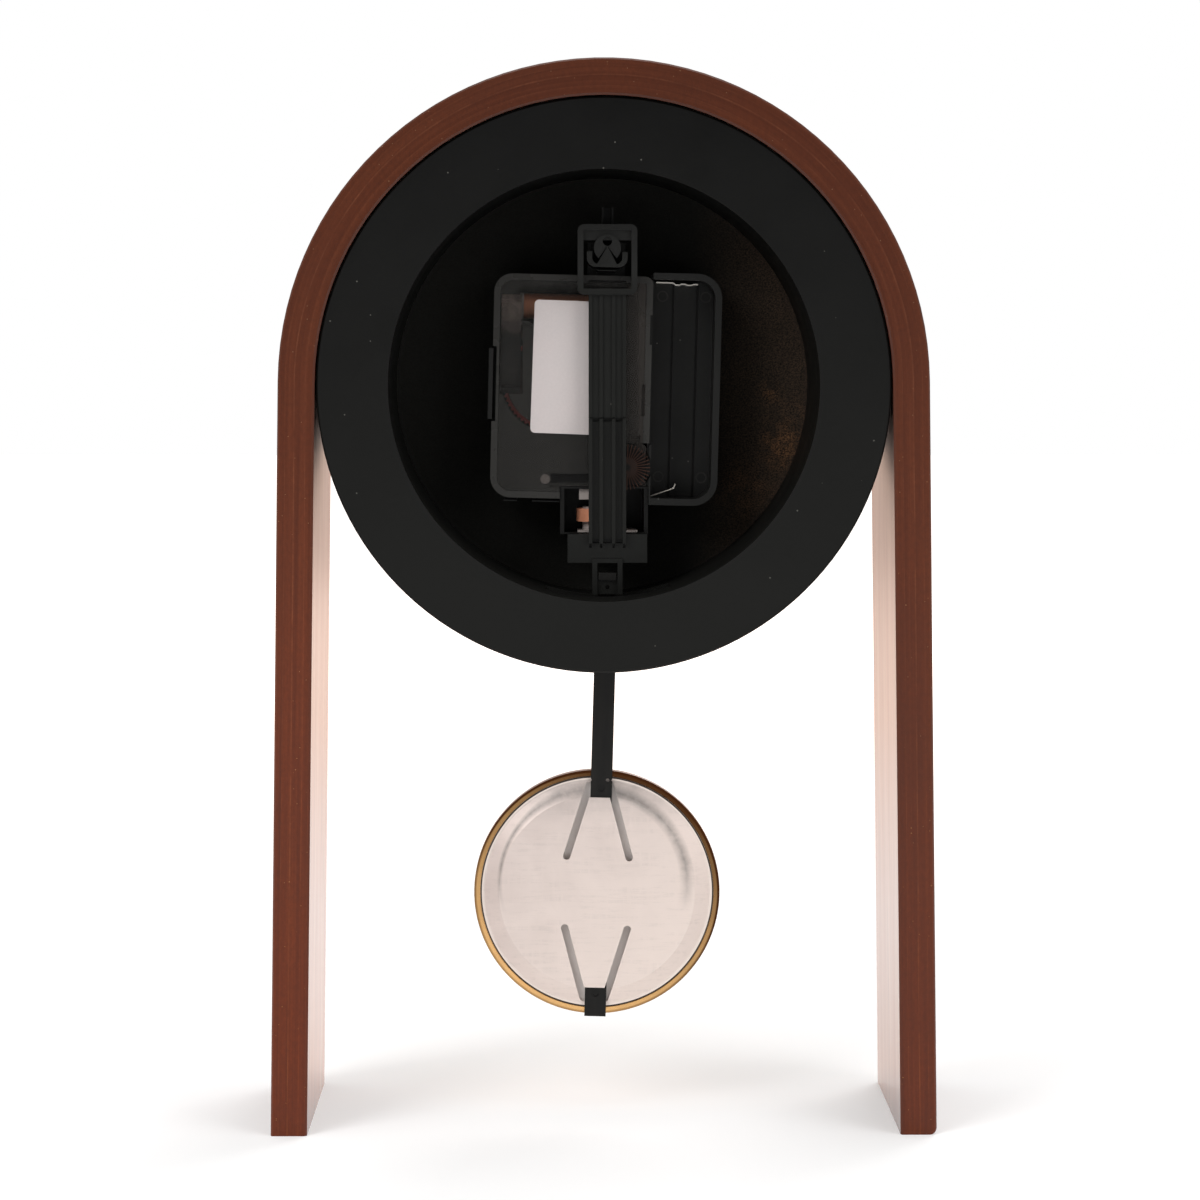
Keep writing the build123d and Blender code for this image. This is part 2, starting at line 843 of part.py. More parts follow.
def contact_top():
    """The wavy contact strip at the top of the battery bay."""
    high = case_high - case_wall - contact_gap
    wave_shares = [(0.02, 0), (0.3, 0), (0.345, 1), (0.41, 1), (0.435, 0.5), (0.5, 0.5)]
    wave_shares += [(0.54, 1), (0.6, 1), (0.64, 0.5), (0.715, 0.5)]
    line = [(bay_left - bay_width * run, high - contact_wave * dip) for run, dip in wave_shares]
    under = [(x, z - contact_thickness) for x, z in reversed(line)]
    top = chamber_front + bay_shelf_height
    return plate(make_face(Polyline(*line, *under, close=True)), top, top + contact_height)


def contact_wire():
    """The bent wire contact at the foot of the battery bay."""
    low = case_low + case_wall + wire_radius
    y = (chamber_front + case_back) / 2
    start = (bay_left - wire_radius, y, low)
    knee = (bay_left - wire_run, y, low + wire_rise)
    tip = (knee[0] - wire_tip_run, y, knee[2] + wire_tip_rise)
    path = FilletPolyline(start, knee, tip, radius=wire_bend)
    section = Plane(origin=path @ 0, z_dir=path % 0) * Circle(wire_radius)
    return sweep(section, path)


def circuit_board():
    right = case_left - case_wall - board_inset
    back = cover_inside - circuit_drop
    low = axis_height - board_drop
    board_y = (back - circuit_thickness, back)
    return block((right - board_width, right), board_y, (low, low + board_height))


def cover_ribs():
    """The two ribs inside the cover that press on the circuit board."""
    right = case_left - case_wall - board_inset
    back = cover_inside - circuit_drop
    low = axis_height - board_drop
    ribs = []
    for z in (low + case_wall, low + board_height - case_wall):
        z_span = across(z, contact_thickness * 2)
        ribs.append(block((right - board_width, right), (back, cover_inside), z_span))
    return ribs


def quartz_crystal():
    """The small can on the front of the circuit board."""
    middle = case_left - case_wall - board_inset - board_width / 2
    front = cover_inside - circuit_drop - circuit_thickness
    top = axis_height - board_drop + board_height - case_wall
    place = Pos(middle, front - crystal_radius, top - crystal_length / 2)
    return place * Cylinder(crystal_radius, crystal_length)


# The stepping motor lies across the top of the chamber
coil_z = axis_height + coil_shift_z
stator_back = level(3) - floor_gap
core_middle = stator_back + core_side / 2


def along_x(radius, length):
    """A round bar along X on the coil's axis."""
    return Pos(coil_shift_x, core_middle, coil_z) * Rot(Y=90) * Cylinder(radius, length)


def motor_core():
    length = coil_length + 2 * flange_thickness + 2 * core_overhang
    y = (stator_back, stator_back + core_side)
    return block(across(coil_shift_x, length), y, across(coil_z, core_side))


def motor_bobbin():
    """The bobbin of the stepping motor: a tube with two square flanges."""
    body = along_x(core_side, coil_length)
    for side in (-1, 1):
        middle = coil_shift_x + side * (coil_length + flange_thickness) / 2
        x = across(middle, flange_thickness)
        body += block(x, across(core_middle, flange_side), across(coil_z, flange_side))
    return body - motor_core()


def motor_coil():
    body = along_x(coil_radius, coil_length)
    return body - along_x(core_side, coil_length + overrun)


def motor_stator():
    """The flat pole piece, whose hole goes round the rotor's magnet."""
    half = (coil_length + 2 * flange_thickness) / 2 + core_overhang / 2
    y = (stator_back - stator_thickness, stator_back)
    rotor_x, rotor_z = rotor_place
    hole = rotor_magnet_radius + stator_air_gap
    collar = hole + stator_collar
    top = coil_z + core_side / 2
    neck_z = across(rotor_z, stator_width)
    body = cylinder(*rotor_place, collar, *y)
    for middle in (coil_shift_x - half, coil_shift_x + half):
        body += block(across(middle, stator_width), y, (rotor_z - stator_width / 2, top))
        body += block((middle, rotor_x), y, neck_z)
    return body - cylinder(*rotor_place, hole, y[0] - overrun, y[1] + overrun)


def stator_pads():
    """The two pads of the case floor that carry the stator."""
    half = (coil_length + 2 * flange_thickness) / 2 + core_overhang / 2
    pads = []
    for middle in (coil_shift_x - half, coil_shift_x + half):
        x = across(middle, stator_width)
        y = (chamber_front, stator_back - stator_thickness)
        pads.append(block(x, y, across(coil_z - core_side, stator_width)))
    return pads


def arbor(place, front, back):
    """A wheel's arbor between its two pivots."""
    return cylinder(*place, pivot_radius, front, back)


def toothed_pair(place, wheel, wheel_level, pinion, pinion_level):
    """A wheel and a pinion on one axis, each given as teeth, module and turn."""
    front = level(wheel_level)
    body = gear(*wheel, place, front, front + wheel_thickness)
    start = level(pinion_level) - pinion_overhang
    end = level(pinion_level) + wheel_thickness + pinion_overhang
    near, far = min(start, front), max(end, front + wheel_thickness)
    join = pinion[0] * pinion[1] / 2 - dedendum_share * pinion[1]
    return body + gear(*pinion, place, start, end) + cylinder(*place, join, near, far)


def rotor():
    """The rotor's arbor with its pinion, which drives the fifth wheel."""
    start = level(5) - pinion_overhang
    end = level(5) + wheel_thickness + pinion_overhang
    body = gear(rotor_teeth, train_module, rotor_turn, rotor_place, start, end)
    return body + arbor(rotor_place, chamber_front - pivot_depth, cover_inside + pivot_depth)


def rotor_magnet():
    middle = stator_back - stator_thickness / 2
    y = across(middle, rotor_magnet_length)
    body = cylinder(*rotor_place, rotor_magnet_radius, *y)
    return body - arbor(rotor_place, y[0] - overrun, y[1] + overrun)


def fifth_wheel():
    wheel = (fifth_teeth, train_module, 0)
    pinion = (fifth_pinion_teeth, fourth_module, 0)
    body = toothed_pair(fifth_place, wheel, 5, pinion, 4)
    return body + arbor(fifth_place, chamber_front - pivot_depth, cover_inside + pivot_depth)


def fourth_wheel():
    """The wheel over the shaft that turns once a minute."""
    wheel = (fourth_teeth, fourth_module, fourth_turn)
    pinion = (fourth_pinion_teeth, third_module, fourth_turn)
    body = toothed_pair(shaft, wheel, 4, pinion, 3)
    return body + arbor(shaft, level(2) + wheel_thickness - pivot_depth, cover_inside + pivot_depth)


def third_wheel():
    wheel = (third_teeth, third_module, third_turn)
    pinion = (third_pinion_teeth, centre_module, third_turn)
    body = toothed_pair(third_place, wheel, 3, pinion, 2)
    bore = post_radius + running_gap
    return body - cylinder(*third_place, bore, level(2) - overrun, level(3) + wheel_thickness + overrun)


def centre_wheel():
    """The wheel that drives the minute arbor through a friction seat."""
    front = level(2)
    back = front + wheel_thickness
    body = gear(centre_teeth, centre_module, centre_turn, shaft, front, back)
    hub_front = level(1) + wheel_thickness + pinion_overhang + end_play
    body += cylinder(*shaft, hub_radius, hub_front, back)
    return body - cylinder(*shaft, arbor_radius + running_gap, hub_front - overrun, back + overrun)


hour_hand_back = case_front - bush_length - pipe_stand + hand_thickness
hour_hand_front = hour_hand_back - hand_thickness
minute_hand_back = hour_hand_front - hand_gap
minute_hand_front = minute_hand_back - hand_thickness


def minute_arbor():
    """The arbor of the minute hand with its cannon pinion."""
    start = level(1) - pinion_overhang
    end = level(1) + wheel_thickness + pinion_overhang
    back = level(2) + wheel_thickness
    body = gear(cannon_teeth, motion_module, 0, shaft, start, end)
    body += cylinder(*shaft, arbor_radius, minute_hand_back, back)
    end = minute_hand_front - hand_nut_height / 2
    body += cylinder(*shaft, arbor_radius - hand_seat, end, minute_hand_back)
    socket = pivot_radius + running_gap
    return body - cylinder(*shaft, socket, back - pivot_depth - end_play, back + overrun)


def minute_wheel():
    wheel = (minute_wheel_teeth, motion_module, minute_turn)
    pinion = (minute_pinion_teeth, hour_module, minute_turn)
    body = toothed_pair(minute_place, wheel, 1, pinion, 0)
    bore = post_radius + running_gap
    return body - cylinder(*minute_place, bore, level(0) - overrun, level(1) + wheel_thickness + overrun)


def hour_wheel():
    """The hour wheel with the pipe that carries the hour hand."""
    front = level(0)
    body = gear(hour_teeth, hour_module, hour_turn, shaft, front, front + wheel_thickness)
    body += cylinder(*shaft, pipe_radius, hour_hand_back, front + wheel_thickness)
    body += cylinder(*shaft, pipe_radius - hand_seat, hour_hand_front, hour_hand_back)
    bore = arbor_radius + running_gap
    return body - cylinder(*shaft, bore, hour_hand_front - overrun, front + wheel_thickness + overrun)


def setting_wheel():
    """The ribbed knob that sets the hands, on the arbor of its pinion."""
    start = level(1) - pinion_overhang
    end = level(1) + wheel_thickness + pinion_overhang
    body = gear(setting_teeth, motion_module, setting_turn, setting_place, start, end)
    front = cover_inside - knob_drop + well_floor + end_play
    body += cylinder(*setting_place, knob_radius - knob_body_inset, front, front + knob_body)
    crest = front + knob_body + knob_rib_height
    body += arbor(setting_place, chamber_front - pivot_depth, crest)
    body += cylinder(*setting_place, knob_hub_radius, front, crest - knob_rib_height / 2)
    return body + plate(knob_rib_outline(), front + knob_body, crest)


def knob_rib_outline():
    """A star of narrow radial ribs about the knob's centre."""
    points = []
    half = math.pi / knob_rib_count / 2
    for index in range(knob_rib_count):
        middle = 2 * math.pi * index / knob_rib_count
        inner = [(knob_rib_start, middle - half), (knob_rib_start, middle + half)]
        outer = [(knob_radius, middle + half / 2), (knob_radius, middle - half / 2)]
        corners = [inner[0], outer[1], outer[0], inner[1]]
        points += [(r * math.cos(a), r * math.sin(a)) for r, a in corners]
    return Pos(*setting_place) * Polygon(*points)


def hand(length, width_shares, turn_deg, front, bore):
    """A leaf-shaped hand about the shaft, turned clockwise from twelve."""
    half_widths = [(along * length, hand_boss_radius * wide) for along, wide in width_shares]
    right = [(wide, along) for along, wide in half_widths]
    left = [(-wide, along) for along, wide in reversed(half_widths)]
    outline = Polygon(*right, *left) + Circle(hand_boss_radius)
    outline -= Circle(bore)
    return plate(Pos(*shaft) * Rot(Z=-turn_deg) * outline, front, front + hand_thickness)


def hour_hand():
    shares = [(-0.18, 0.2), (0.0, 0.3), (0.3, 0.3), (0.62, 0.8), (0.8, 0.3), (1.0, 0.05)]
    bore = pipe_radius - hand_seat + press_gap
    return hand(hour_hand_length, shares, hour_hand_deg, hour_hand_front, bore)


def minute_hand():
    shares = [(-0.18, 0.2), (0.0, 0.28), (0.4, 0.28), (0.68, 0.6), (0.84, 0.24), (1.0, 0.04)]
    bore = arbor_radius - hand_seat + press_gap
    return hand(minute_hand_length, shares, minute_hand_deg, minute_hand_front, bore)


def hand_nut():
    """The round cap nut in front of the minute hand."""
    front = minute_hand_front - hand_nut_height
    body = cylinder(*shaft, hand_nut_radius, front, minute_hand_front)
    body = chamfer(body.edges().group_by(Axis.Y)[0], hand_nut_height / 3)
    bore = arbor_radius - hand_seat + press_gap
    end = minute_hand_front - hand_nut_height / 2
    return body - cylinder(*shaft, bore, end, minute_hand_front + overrun)


def hanger_bracket():
    """The moulded bracket on top of the movement, with the cradle and its knife edge."""
    low = cover_high - hanger_foot
    wall_back = case_back - hanger_setback
    wall = (wall_back - hanger_wall, wall_back)
    top = cover_high + hanger_foot
    body = block(across(arm_x, hanger_width), wall, (low, knife_z + cradle_wall))
    foot_y = (wall_back - hanger_foot_depth, wall_back)
    body += block(across(arm_x, hanger_width), foot_y, (low, top))
    for side in (-1, 1):
        middle = arm_x + side * (hanger_width - gusset_thickness) / 2
        profile = [(foot_y[0], top), (wall_back, top), (wall_back, knife_z), (wall[0], knife_z)]
        web = extrude(Plane.YZ * Polygon(*profile), gusset_thickness / 2, both=True)
        body += Pos(middle, 0, 0) * web
        blade_x = across(arm_x + side * hanger_blade_spacing / 2, hanger_blade_thickness)
        blade_z = (knife_z, axis_height + hanger_tongue_top)
        body += block(blade_x, (wall[0], wall_back + hanger_blade_depth), blade_z)
    spine = hanger_blade_spacing + hanger_blade_thickness
    body += block(across(arm_x, spine), wall, (knife_z, axis_height + hanger_tongue_top))
    back = arm_front + arm_frame_depth
    body += plate(cradle_outline() + knife_outline(), wall_back - hanger_wall / 2, back)
    shelf_high = cradle_low - cradle_shelf_drop
    shelf_z = (shelf_high - cradle_shelf_thickness, shelf_high)
    body += block(across(arm_x, cradle_shelf_width), (wall_back, arm_front - play), shelf_z)
    below = block((case_right, case_left), (case_front, case_back), (case_low, cover_high))
    return swung(body, (arm_x, knife_z), case_lean_deg) - leaned(below)


cradle_low = knife_z - knife_rise - cradle_thickness


def knife_outline():
    half = knife_rise * math.tan(math.radians(knife_half_deg))
    foot = knife_z - knife_rise
    return Polygon((arm_x - half, foot), (arm_x + half, foot), (arm_x, knife_z))


def cradle_outline():
    """The U whose arms stand beside the knife edge."""
    lip = knife_z - cradle_lip_drop
    outer = cradle_inner + cradle_wall
    inner_corner = cradle_corner_radius - cradle_wall / 2
    radii = [cradle_corner_radius, cradle_corner_radius, play, play]
    shell = rounded_case(outer, -outer, cradle_low, lip, radii)
    hollow_low = cradle_low + cradle_thickness
    radii = [inner_corner, inner_corner, play, play]
    hollow = rounded_case(cradle_inner, -cradle_inner, hollow_low, lip + overrun, radii)
    return Pos(arm_x, 0) * (shell - hollow)


drive_low = axis_height - drive_top - drive_height
drive_y = case_back - drive_reach - drive_wall / 2 - drive_coil_radius
drive_foot_top = drive_low + drive_floor + drive_foot_thickness
winding_low = drive_foot_top + drive_flange
winding_high = winding_low + drive_winding


def drive_housing():
    """The black box below the movement that holds the drive coil, open at its back."""
    high = axis_height - drive_top
    x = across(drive_shift_x, drive_width)
    back = case_back - drive_reach
    body = block(x, (chamber_front, back), (drive_low, high))
    inner_x = across(drive_shift_x, drive_width - 2 * drive_wall)
    inner_z = (drive_low + drive_floor, high - drive_wall / 2)
    return body - block(inner_x, (chamber_front + drive_wall / 2, back + overrun), inner_z)


def upright(radius, low, high):
    """A round bar along Z on the drive coil's axis."""
    return Pos(drive_coil_shift_x, drive_y, (low + high) / 2) * Cylinder(radius, high - low)


def drive_bobbin():
    """The white bobbin: a wide foot, a core with two flanges and the terminal block on top."""
    foot_x = across(drive_foot_shift_x, drive_foot_width)
    foot_y = (drive_y - drive_coil_radius, case_back - drive_reach - play)
    body = block(foot_x, foot_y, (drive_low + drive_floor, drive_foot_top))
    body += upright(drive_flange_radius, drive_foot_top, winding_low)
    body += upright(drive_core_radius, winding_low, winding_high)
    body += upright(drive_flange_radius, winding_high, winding_high + drive_cap)
    block_low = drive_foot_top + drive_block_rise - drive_cap
    body += upright(drive_core_radius, winding_high, block_low)
    side = drive_block_side
    block_z = (block_low, axis_height - drive_top - drive_wall / 2 - play)
    return body + block(across(drive_coil_shift_x, side), across(drive_y, side), block_z)


def drive_coil():
    body = upright(drive_coil_radius, winding_low, winding_high)
    return body - upright(drive_core_radius, winding_low - overrun, winding_high + overrun)


def pendulum_arm():
    """The black moulded arm that rocks on the knife edge and carries the rod."""
    back = arm_front + arm_frame_depth
    top = knife_z + arm_frame_rise
    low = top - arm_frame_height
    frame_x = across(0, arm_frame_width)
    radii = arm_frame_corner
    frame = rounded_case(frame_x[1], frame_x[0], low, top, radii)
    window_x = across(0, arm_frame_width - 2 * arm_frame_wall)
    bar_low = top - arm_top_bar
    opening = rounded_case(window_x[1], window_x[0], low + arm_frame_wall, bar_low, play)
    body = plate(frame - opening, arm_front, back)
    relief_z = (bar_low - overrun, top - arm_frame_wall)
    body -= block(window_x, (arm_front + arm_recess_depth, back + overrun), relief_z)
    body += arm_disc()
    cross_top = knife_z - cross_drop
    cross_low = cross_top - cross_height
    lower_top = cross_top + arm_lower_length - cross_height / 2
    bar_x = across(0, arm_bar_width)
    shallow = (arm_front, arm_front + arm_bar_depth)
    body += block(bar_x, shallow, (cross_top, low + arm_frame_wall))
    deep = (arm_front, arm_front + arm_lower_depth)
    floor_end = cross_top - arm_rib_run
    body += block(bar_x, deep, (floor_end, lower_top))
    cross_y = (arm_front, arm_front + cross_depth)
    body += block(across(0, cross_width), cross_y, (cross_low, cross_top))
    pocket_y = (deep[1] - arm_pocket_depth, back + overrun)
    body -= block(bar_x, pocket_y, (lower_top - arm_pocket_height, lower_top))
    body -= block(bar_x, pocket_y, (floor_end - arm_rib_run, floor_end))
    outer_rib = (arm_bar_width - arm_rib_width) / 2
    rib_end = floor_end - arm_rib_run
    for middle in (-outer_rib, -arm_rib_inner, arm_rib_inner, outer_rib):
        x = across(middle, arm_rib_width)
        crest = (arm_front, deep[1] + arm_rib_height)
        body += block(x, crest, (rib_end, lower_top))
        crest = (arm_front, shallow[1] + arm_upper_rib_height)
        body += block(x, crest, (lower_top, low + arm_frame_wall / 2))
        body -= block(across(middle, arm_notch_width), pocket_y, (rib_end - arm_rib_run, rib_end))
    seam_y = (shallow[1] + arm_upper_rib_height - arm_seam_depth, back + overrun)
    body -= block(bar_x, seam_y, (lower_top, lower_top + arm_seam_height))
    body += hook_strip(cross_low) + magnet_holder(cross_low)
    return Pos(arm_x, 0, 0) * body


def arm_disc():
    """The disc under the top bar, with the notch that rides on the knife edge."""
    back = arm_front + arm_disc_depth
    middle = knife_z - arm_disc_drop
    body = cylinder(0, middle, arm_disc_radius, arm_front, back)
    apex = knife_z + knife_gap
    drop = 2 * arm_disc_radius
    half = drop * math.tan(math.radians(notch_half_deg))
    notch = Polygon((0, apex), (-half, apex - drop), (half, apex - drop))
    body -= plate(notch, arm_front - overrun, back + overrun)
    hole_z = knife_z + arm_hole_rise
    return body - cylinder(0, hole_z, arm_hole_radius, arm_front - overrun, back + overrun)


strip_front = arm_front + strip_setback


def hook_strip(top):
    """The windowed strip under the crossbar, which the rod hooks into."""
    end = knife_z - strip_drop
    ledge = knife_z - hook_drop
    rail_back = strip_front + strip_rail_depth
    body = block(across(0, strip_width), (strip_front, rail_back), (end, top + overrun))
    inner = across(0, strip_width - 2 * strip_rail)
    body -= block(inner, (strip_front + strip_plate, rail_back + overrun), (end - overrun, top))
    body -= block(inner, (strip_front - overrun, rail_back + overrun), (ledge, top))
    body += block(across(0, strip_width), (arm_front, rail_back), (top, top + overrun))
    hole_z = ledge - strip_hole_drop
    return body - cylinder(0, hole_z, strip_hole_radius, strip_front - overrun, rail_back)


def magnet_holder(low):
    """The pocket that carries the magnet forwards under the drive coil."""
    z = (low + strip_hole_radius, low + strip_hole_radius + holder_height)
    front = arm_front - holder_reach
    body = block(across(0, holder_width), (front, arm_front + overrun), z)
    top = z[1]
    pocket = Pos(0, drive_y, top - magnet_length / 2) * Cylinder(magnet_radius, magnet_length)
    return body - pocket


def pendulum_magnet():
    low = knife_z - cross_drop - cross_height + strip_hole_radius
    top = low + holder_height
    return Pos(arm_x, drive_y, top - magnet_length / 2) * Cylinder(magnet_radius, magnet_length)


# The rod hangs on the plate of the strip and tilts about its seat
seat_z = knife_z - hook_drop
rod_back = strip_front - hook_clear
rod_front = rod_back - rod_thickness


def hung(body):
    """Tilts what hangs on the arm's hook as the photograph shows it."""
    return swung(body, (arm_x, seat_z), rod_tilt_deg)


def pendulum_rod():
    """The flat strip with its hook, a round dimple and a small hole."""
    top = seat_z + hook_seat + rod_thickness
    foot = top - rod_length
    shoulder = seat_z - rod_width
    body = block(across(arm_x, rod_width), (rod_front, rod_back), (foot, shoulder))
    hook_x = across(arm_x, hook_width)
    body += block(hook_x, (rod_front, rod_back), (shoulder, top))
    lip_front = strip_front + strip_plate + hook_clear
    lip = (lip_front, lip_front + rod_thickness)
    body += block(hook_x, (rod_front, lip[1]), (top - rod_thickness, top))
    body += block(hook_x, lip, (top - hook_lip, top))
    for side in (-1, 1):
        corner = fillet_notch(arm_x + side * rod_width / 2, seat_z - rod_hole_drop)
        body -= corner
    hole = (arm_x - rod_hole_shift, seat_z - rod_hole_drop)
    body -= cylinder(*hole, rod_hole_radius, rod_front - overrun, rod_back + overrun)
    dimple_y = (rod_back - rod_thickness / 2, rod_back + overrun)
    for drop in (dimple_drop, low_dimple_drop):
        body -= cylinder(arm_x, seat_z - drop, dimple_radius, *dimple_y)
    return hung(body)


def fillet_notch(x, z):
    """A tiny round nick in the strip's edge."""
    return cylinder(x, z, rod_hole_radius / 2, rod_front - overrun, rod_back + overrun)


bob_place = (arm_x + bob_shift_x, seat_z - bob_drop)
rim_back = rod_front - play
disc_back = rim_back - bob_disc_gap / 2
disc_front = disc_back - bob_sheet_back
centre_front = rod_back + bob_disc_gap
centre_back = centre_front + bob_sheet_back


def bob_shell():
    """The domed brass front of the bob with its upstanding rim."""
    inner = bob_radius - bob_rim
    ledge = inner - bob_seat_wall
    turn_y = rim_back - bob_rim_height
    crown_y = turn_y - bob_crown
    edges = [
        dome_arc(bob_radius, turn_y, crown_y),
        Polyline((bob_radius, turn_y), (bob_radius, rim_back), (inner, rim_back)),
        Polyline((inner, rim_back), (inner, disc_front), (ledge, disc_front)),
        Line((ledge, disc_front), (ledge, turn_y + bob_sheet / 2)),
        dome_arc(ledge, turn_y + bob_sheet / 2, crown_y + bob_sheet),
        Line((0, crown_y + bob_sheet), (0, crown_y)),
    ]
    return hung(turned(edges, *bob_place))


def dome_arc(radius, rim_y, crown_y):
    """Half a shallow dome's section, from its crown on the axis out to its rim."""
    rise = rim_y - crown_y
    sphere = (radius**2 + rise**2) / (2 * rise)
    half = math.asin(radius / sphere) / 2
    middle = (sphere * math.sin(half), crown_y + sphere * (1 - math.cos(half)))
    return ThreePointArc((0, crown_y), middle, (radius, rim_y))


def bob_back():
    """The recessed back disc, whose slits free two tongues that grip the strip."""
    edge = bob_radius - bob_rim - play
    bob_step_radius = bob_radius - bob_step_inset
    step_out = bob_step_radius + bob_step_run
    rear = [(0, centre_back), (bob_step_radius, centre_back), (step_out, disc_back), (edge, disc_back)]
    fore = [(edge, disc_front), (step_out, disc_front), (bob_step_radius, centre_front), (0, centre_front)]
    body = turned(Polyline(*rear, *fore, close=True), *bob_place)
    x, z = bob_place
    slit_tip_radius = bob_radius - slit_tip_inset
    slit_root_radius = slit_tip_radius - slit_run
    tongue_radius = bob_radius - tongue_inset
    through = (disc_front - overrun, centre_back + overrun)
    for up in (-1, 1):
        for side in (-1, 1):
            root = (x + side * slit_root_half, z + up * slit_root_radius)
            tip = (x + side * slit_tip_half, z + up * slit_tip_radius)
            body -= slit(root, tip)
        end = slit_tip_radius + slit_width / 2
        body -= block(across(x, 2 * slit_tip_half), through, (z + up * tongue_radius, z + up * end))
    return hung(body)


def slit(start, end):
    """A round-ended slit between two places, cut through the disc."""
    run = (end[0] - start[0], end[1] - start[1])
    length = math.hypot(*run)
    turn = math.degrees(math.atan2(run[1], run[0]))
    middle = ((start[0] + end[0]) / 2, (start[1] + end[1]) / 2)
    outline = Pos(*middle) * SlotCenterToCenter(length, slit_width, rotation=turn)
    return plate(outline, disc_front - overrun, centre_back + overrun)


def nut_washer():
    radius = bush_radius + running_gap
    return ring(nut_washer_radius, radius, dial_front - washer_thickness, dial_front)


def rubber_washer():
    return ring(rubber_washer_radius, bush_radius + play, recess_floor, case_front)


def base_with_pads():
    body = movement_base()
    for pad in stator_pads():
        body += pad
    return leaned(body) - drive_space(end_play)


def cover_with_ribs():
    body = movement_cover()
    for rib in cover_ribs():
        body += rib
    return leaned(body) - drive_space(end_play)


upright_pieces = {
    "arch_frame": arch_frame,
    "case_ring": case_ring,
    "dial_board": dial_board,
    "dial_plate": dial_plate,
    "bezel": bezel,
    "dial_lens": dial_lens,
    "lens_spacer": lens_spacer,
    "movement_base": base_with_pads,
    "movement_cover": cover_with_ribs,
    "hour_hand": hour_hand,
    "minute_hand": minute_hand,
    "hand_nut": hand_nut,
    "mounting_nut": hex_nut,
    "nut_washer": nut_washer,
    "rubber_washer": rubber_washer,
    "hanger_bracket": hanger_bracket,
    "drive_housing": drive_housing,
    "drive_bobbin": drive_bobbin,
    "drive_coil": drive_coil,
    "pendulum_arm": pendulum_arm,
    "pendulum_magnet": pendulum_magnet,
    "pendulum_rod": pendulum_rod,
    "bob_shell": bob_shell,
    "bob_back": bob_back,
}

leaned_pieces = {
    "rating_label": rating_label,
    "battery_contact_top": contact_top,
    "battery_contact_wire": contact_wire,
    "circuit_board": circuit_board,
    "quartz_crystal": quartz_crystal,
    "motor_core": motor_core,
    "motor_bobbin": motor_bobbin,
    "motor_coil": motor_coil,
    "motor_stator": motor_stator,
    "rotor": rotor,
    "rotor_magnet": rotor_magnet,
    "fifth_wheel": fifth_wheel,
    "fourth_wheel": fourth_wheel,
    "third_wheel": third_wheel,
    "centre_wheel": centre_wheel,
    "minute_arbor": minute_arbor,
    "minute_wheel": minute_wheel,
    "hour_wheel": hour_wheel,
    "setting_wheel": setting_wheel,
    "mounting_bush": mounting_bush,
}

os.makedirs("parts", exist_ok=True)
for name, make in upright_pieces.items():
    export_step(make(), f"parts/{name}.step")
for name, make in leaned_pieces.items():
    export_step(leaned(make()), f"parts/{name}.step")
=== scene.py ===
import math

import bmesh
import bpy
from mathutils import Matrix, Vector


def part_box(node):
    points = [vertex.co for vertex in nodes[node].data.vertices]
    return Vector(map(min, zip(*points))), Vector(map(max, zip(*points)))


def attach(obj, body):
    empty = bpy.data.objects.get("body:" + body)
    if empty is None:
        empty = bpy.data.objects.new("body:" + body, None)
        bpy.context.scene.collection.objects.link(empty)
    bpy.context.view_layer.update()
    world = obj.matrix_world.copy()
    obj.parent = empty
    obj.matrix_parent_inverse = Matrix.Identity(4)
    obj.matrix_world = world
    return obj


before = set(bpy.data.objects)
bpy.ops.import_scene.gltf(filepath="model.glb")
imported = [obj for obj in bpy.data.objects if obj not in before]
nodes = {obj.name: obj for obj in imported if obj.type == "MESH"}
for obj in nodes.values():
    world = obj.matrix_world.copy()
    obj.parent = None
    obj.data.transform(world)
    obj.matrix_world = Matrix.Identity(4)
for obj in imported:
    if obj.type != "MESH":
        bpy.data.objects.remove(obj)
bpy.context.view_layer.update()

mm = 0.001

# The photograph's camera: its place, its tilt down, its turn and its focal length in pixels
camera_place = Vector((9.4, 827.0, 182.7)) * mm
camera_tilt_deg = 3.967
camera_turn_deg = 0.606
focal_pixels = 3403.0
image_pixels = 1200.0
sensor_mm = 36.0
clip_start = 10 * mm

# Sizes that the looks need, in metres, worked out from the frame
ring_low, ring_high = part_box("case_ring")
arch_low, arch_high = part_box("arch_frame")
axis_height = (ring_low.z + ring_high.z) / 2
arch_outer_radius = arch_high.z - axis_height
arch_inner_radius = (ring_high.x - ring_low.x) / 2
foot_half_width = (arch_high.x - arch_low.x) / 2
splay_slope = (foot_half_width - arch_outer_radius) / axis_height
dial_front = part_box("dial_plate")[0].y

# Sizes and places on the pieces are in millimetres, and a pair gives the two ends of a fade

# Arch: glue lines as place across the wall, half width and weight, all three as shares
glue_line_shares = [(0.56, 0.03, 0.55), (0.27, 0.022, 0.25), (0.8, 0.022, 0.22), (0.4, 0.015, 0.12)]
glue_line_wander_share = 0.06
# Arch: heights over which painted shade darkens the top, heights over which painted warm light tints the
# low legs, and sides over which painted shade darkens the -X side
arch_shade_heights = (120, 250)
arch_light_heights = (30, 190)
arch_shade_sides = (-20, 70)

# Drum and board: where painted shade darkens the drum's paint towards its top, where brown fibres show,
# and bare patches of them as place in X, place in Z, reach and weight
drum_shade_heights = (130, 250)
fibre_sides = (-22, -44)
bare_patches = [
    (-44.5, 162.0, 7.0, 0.4),
    (-41.5, 175.5, 4.0, 0.3),
    (-36.0, 152.0, 9.0, 0.15),
    (-47.0, 166.0, 9.0, 0.2),
]
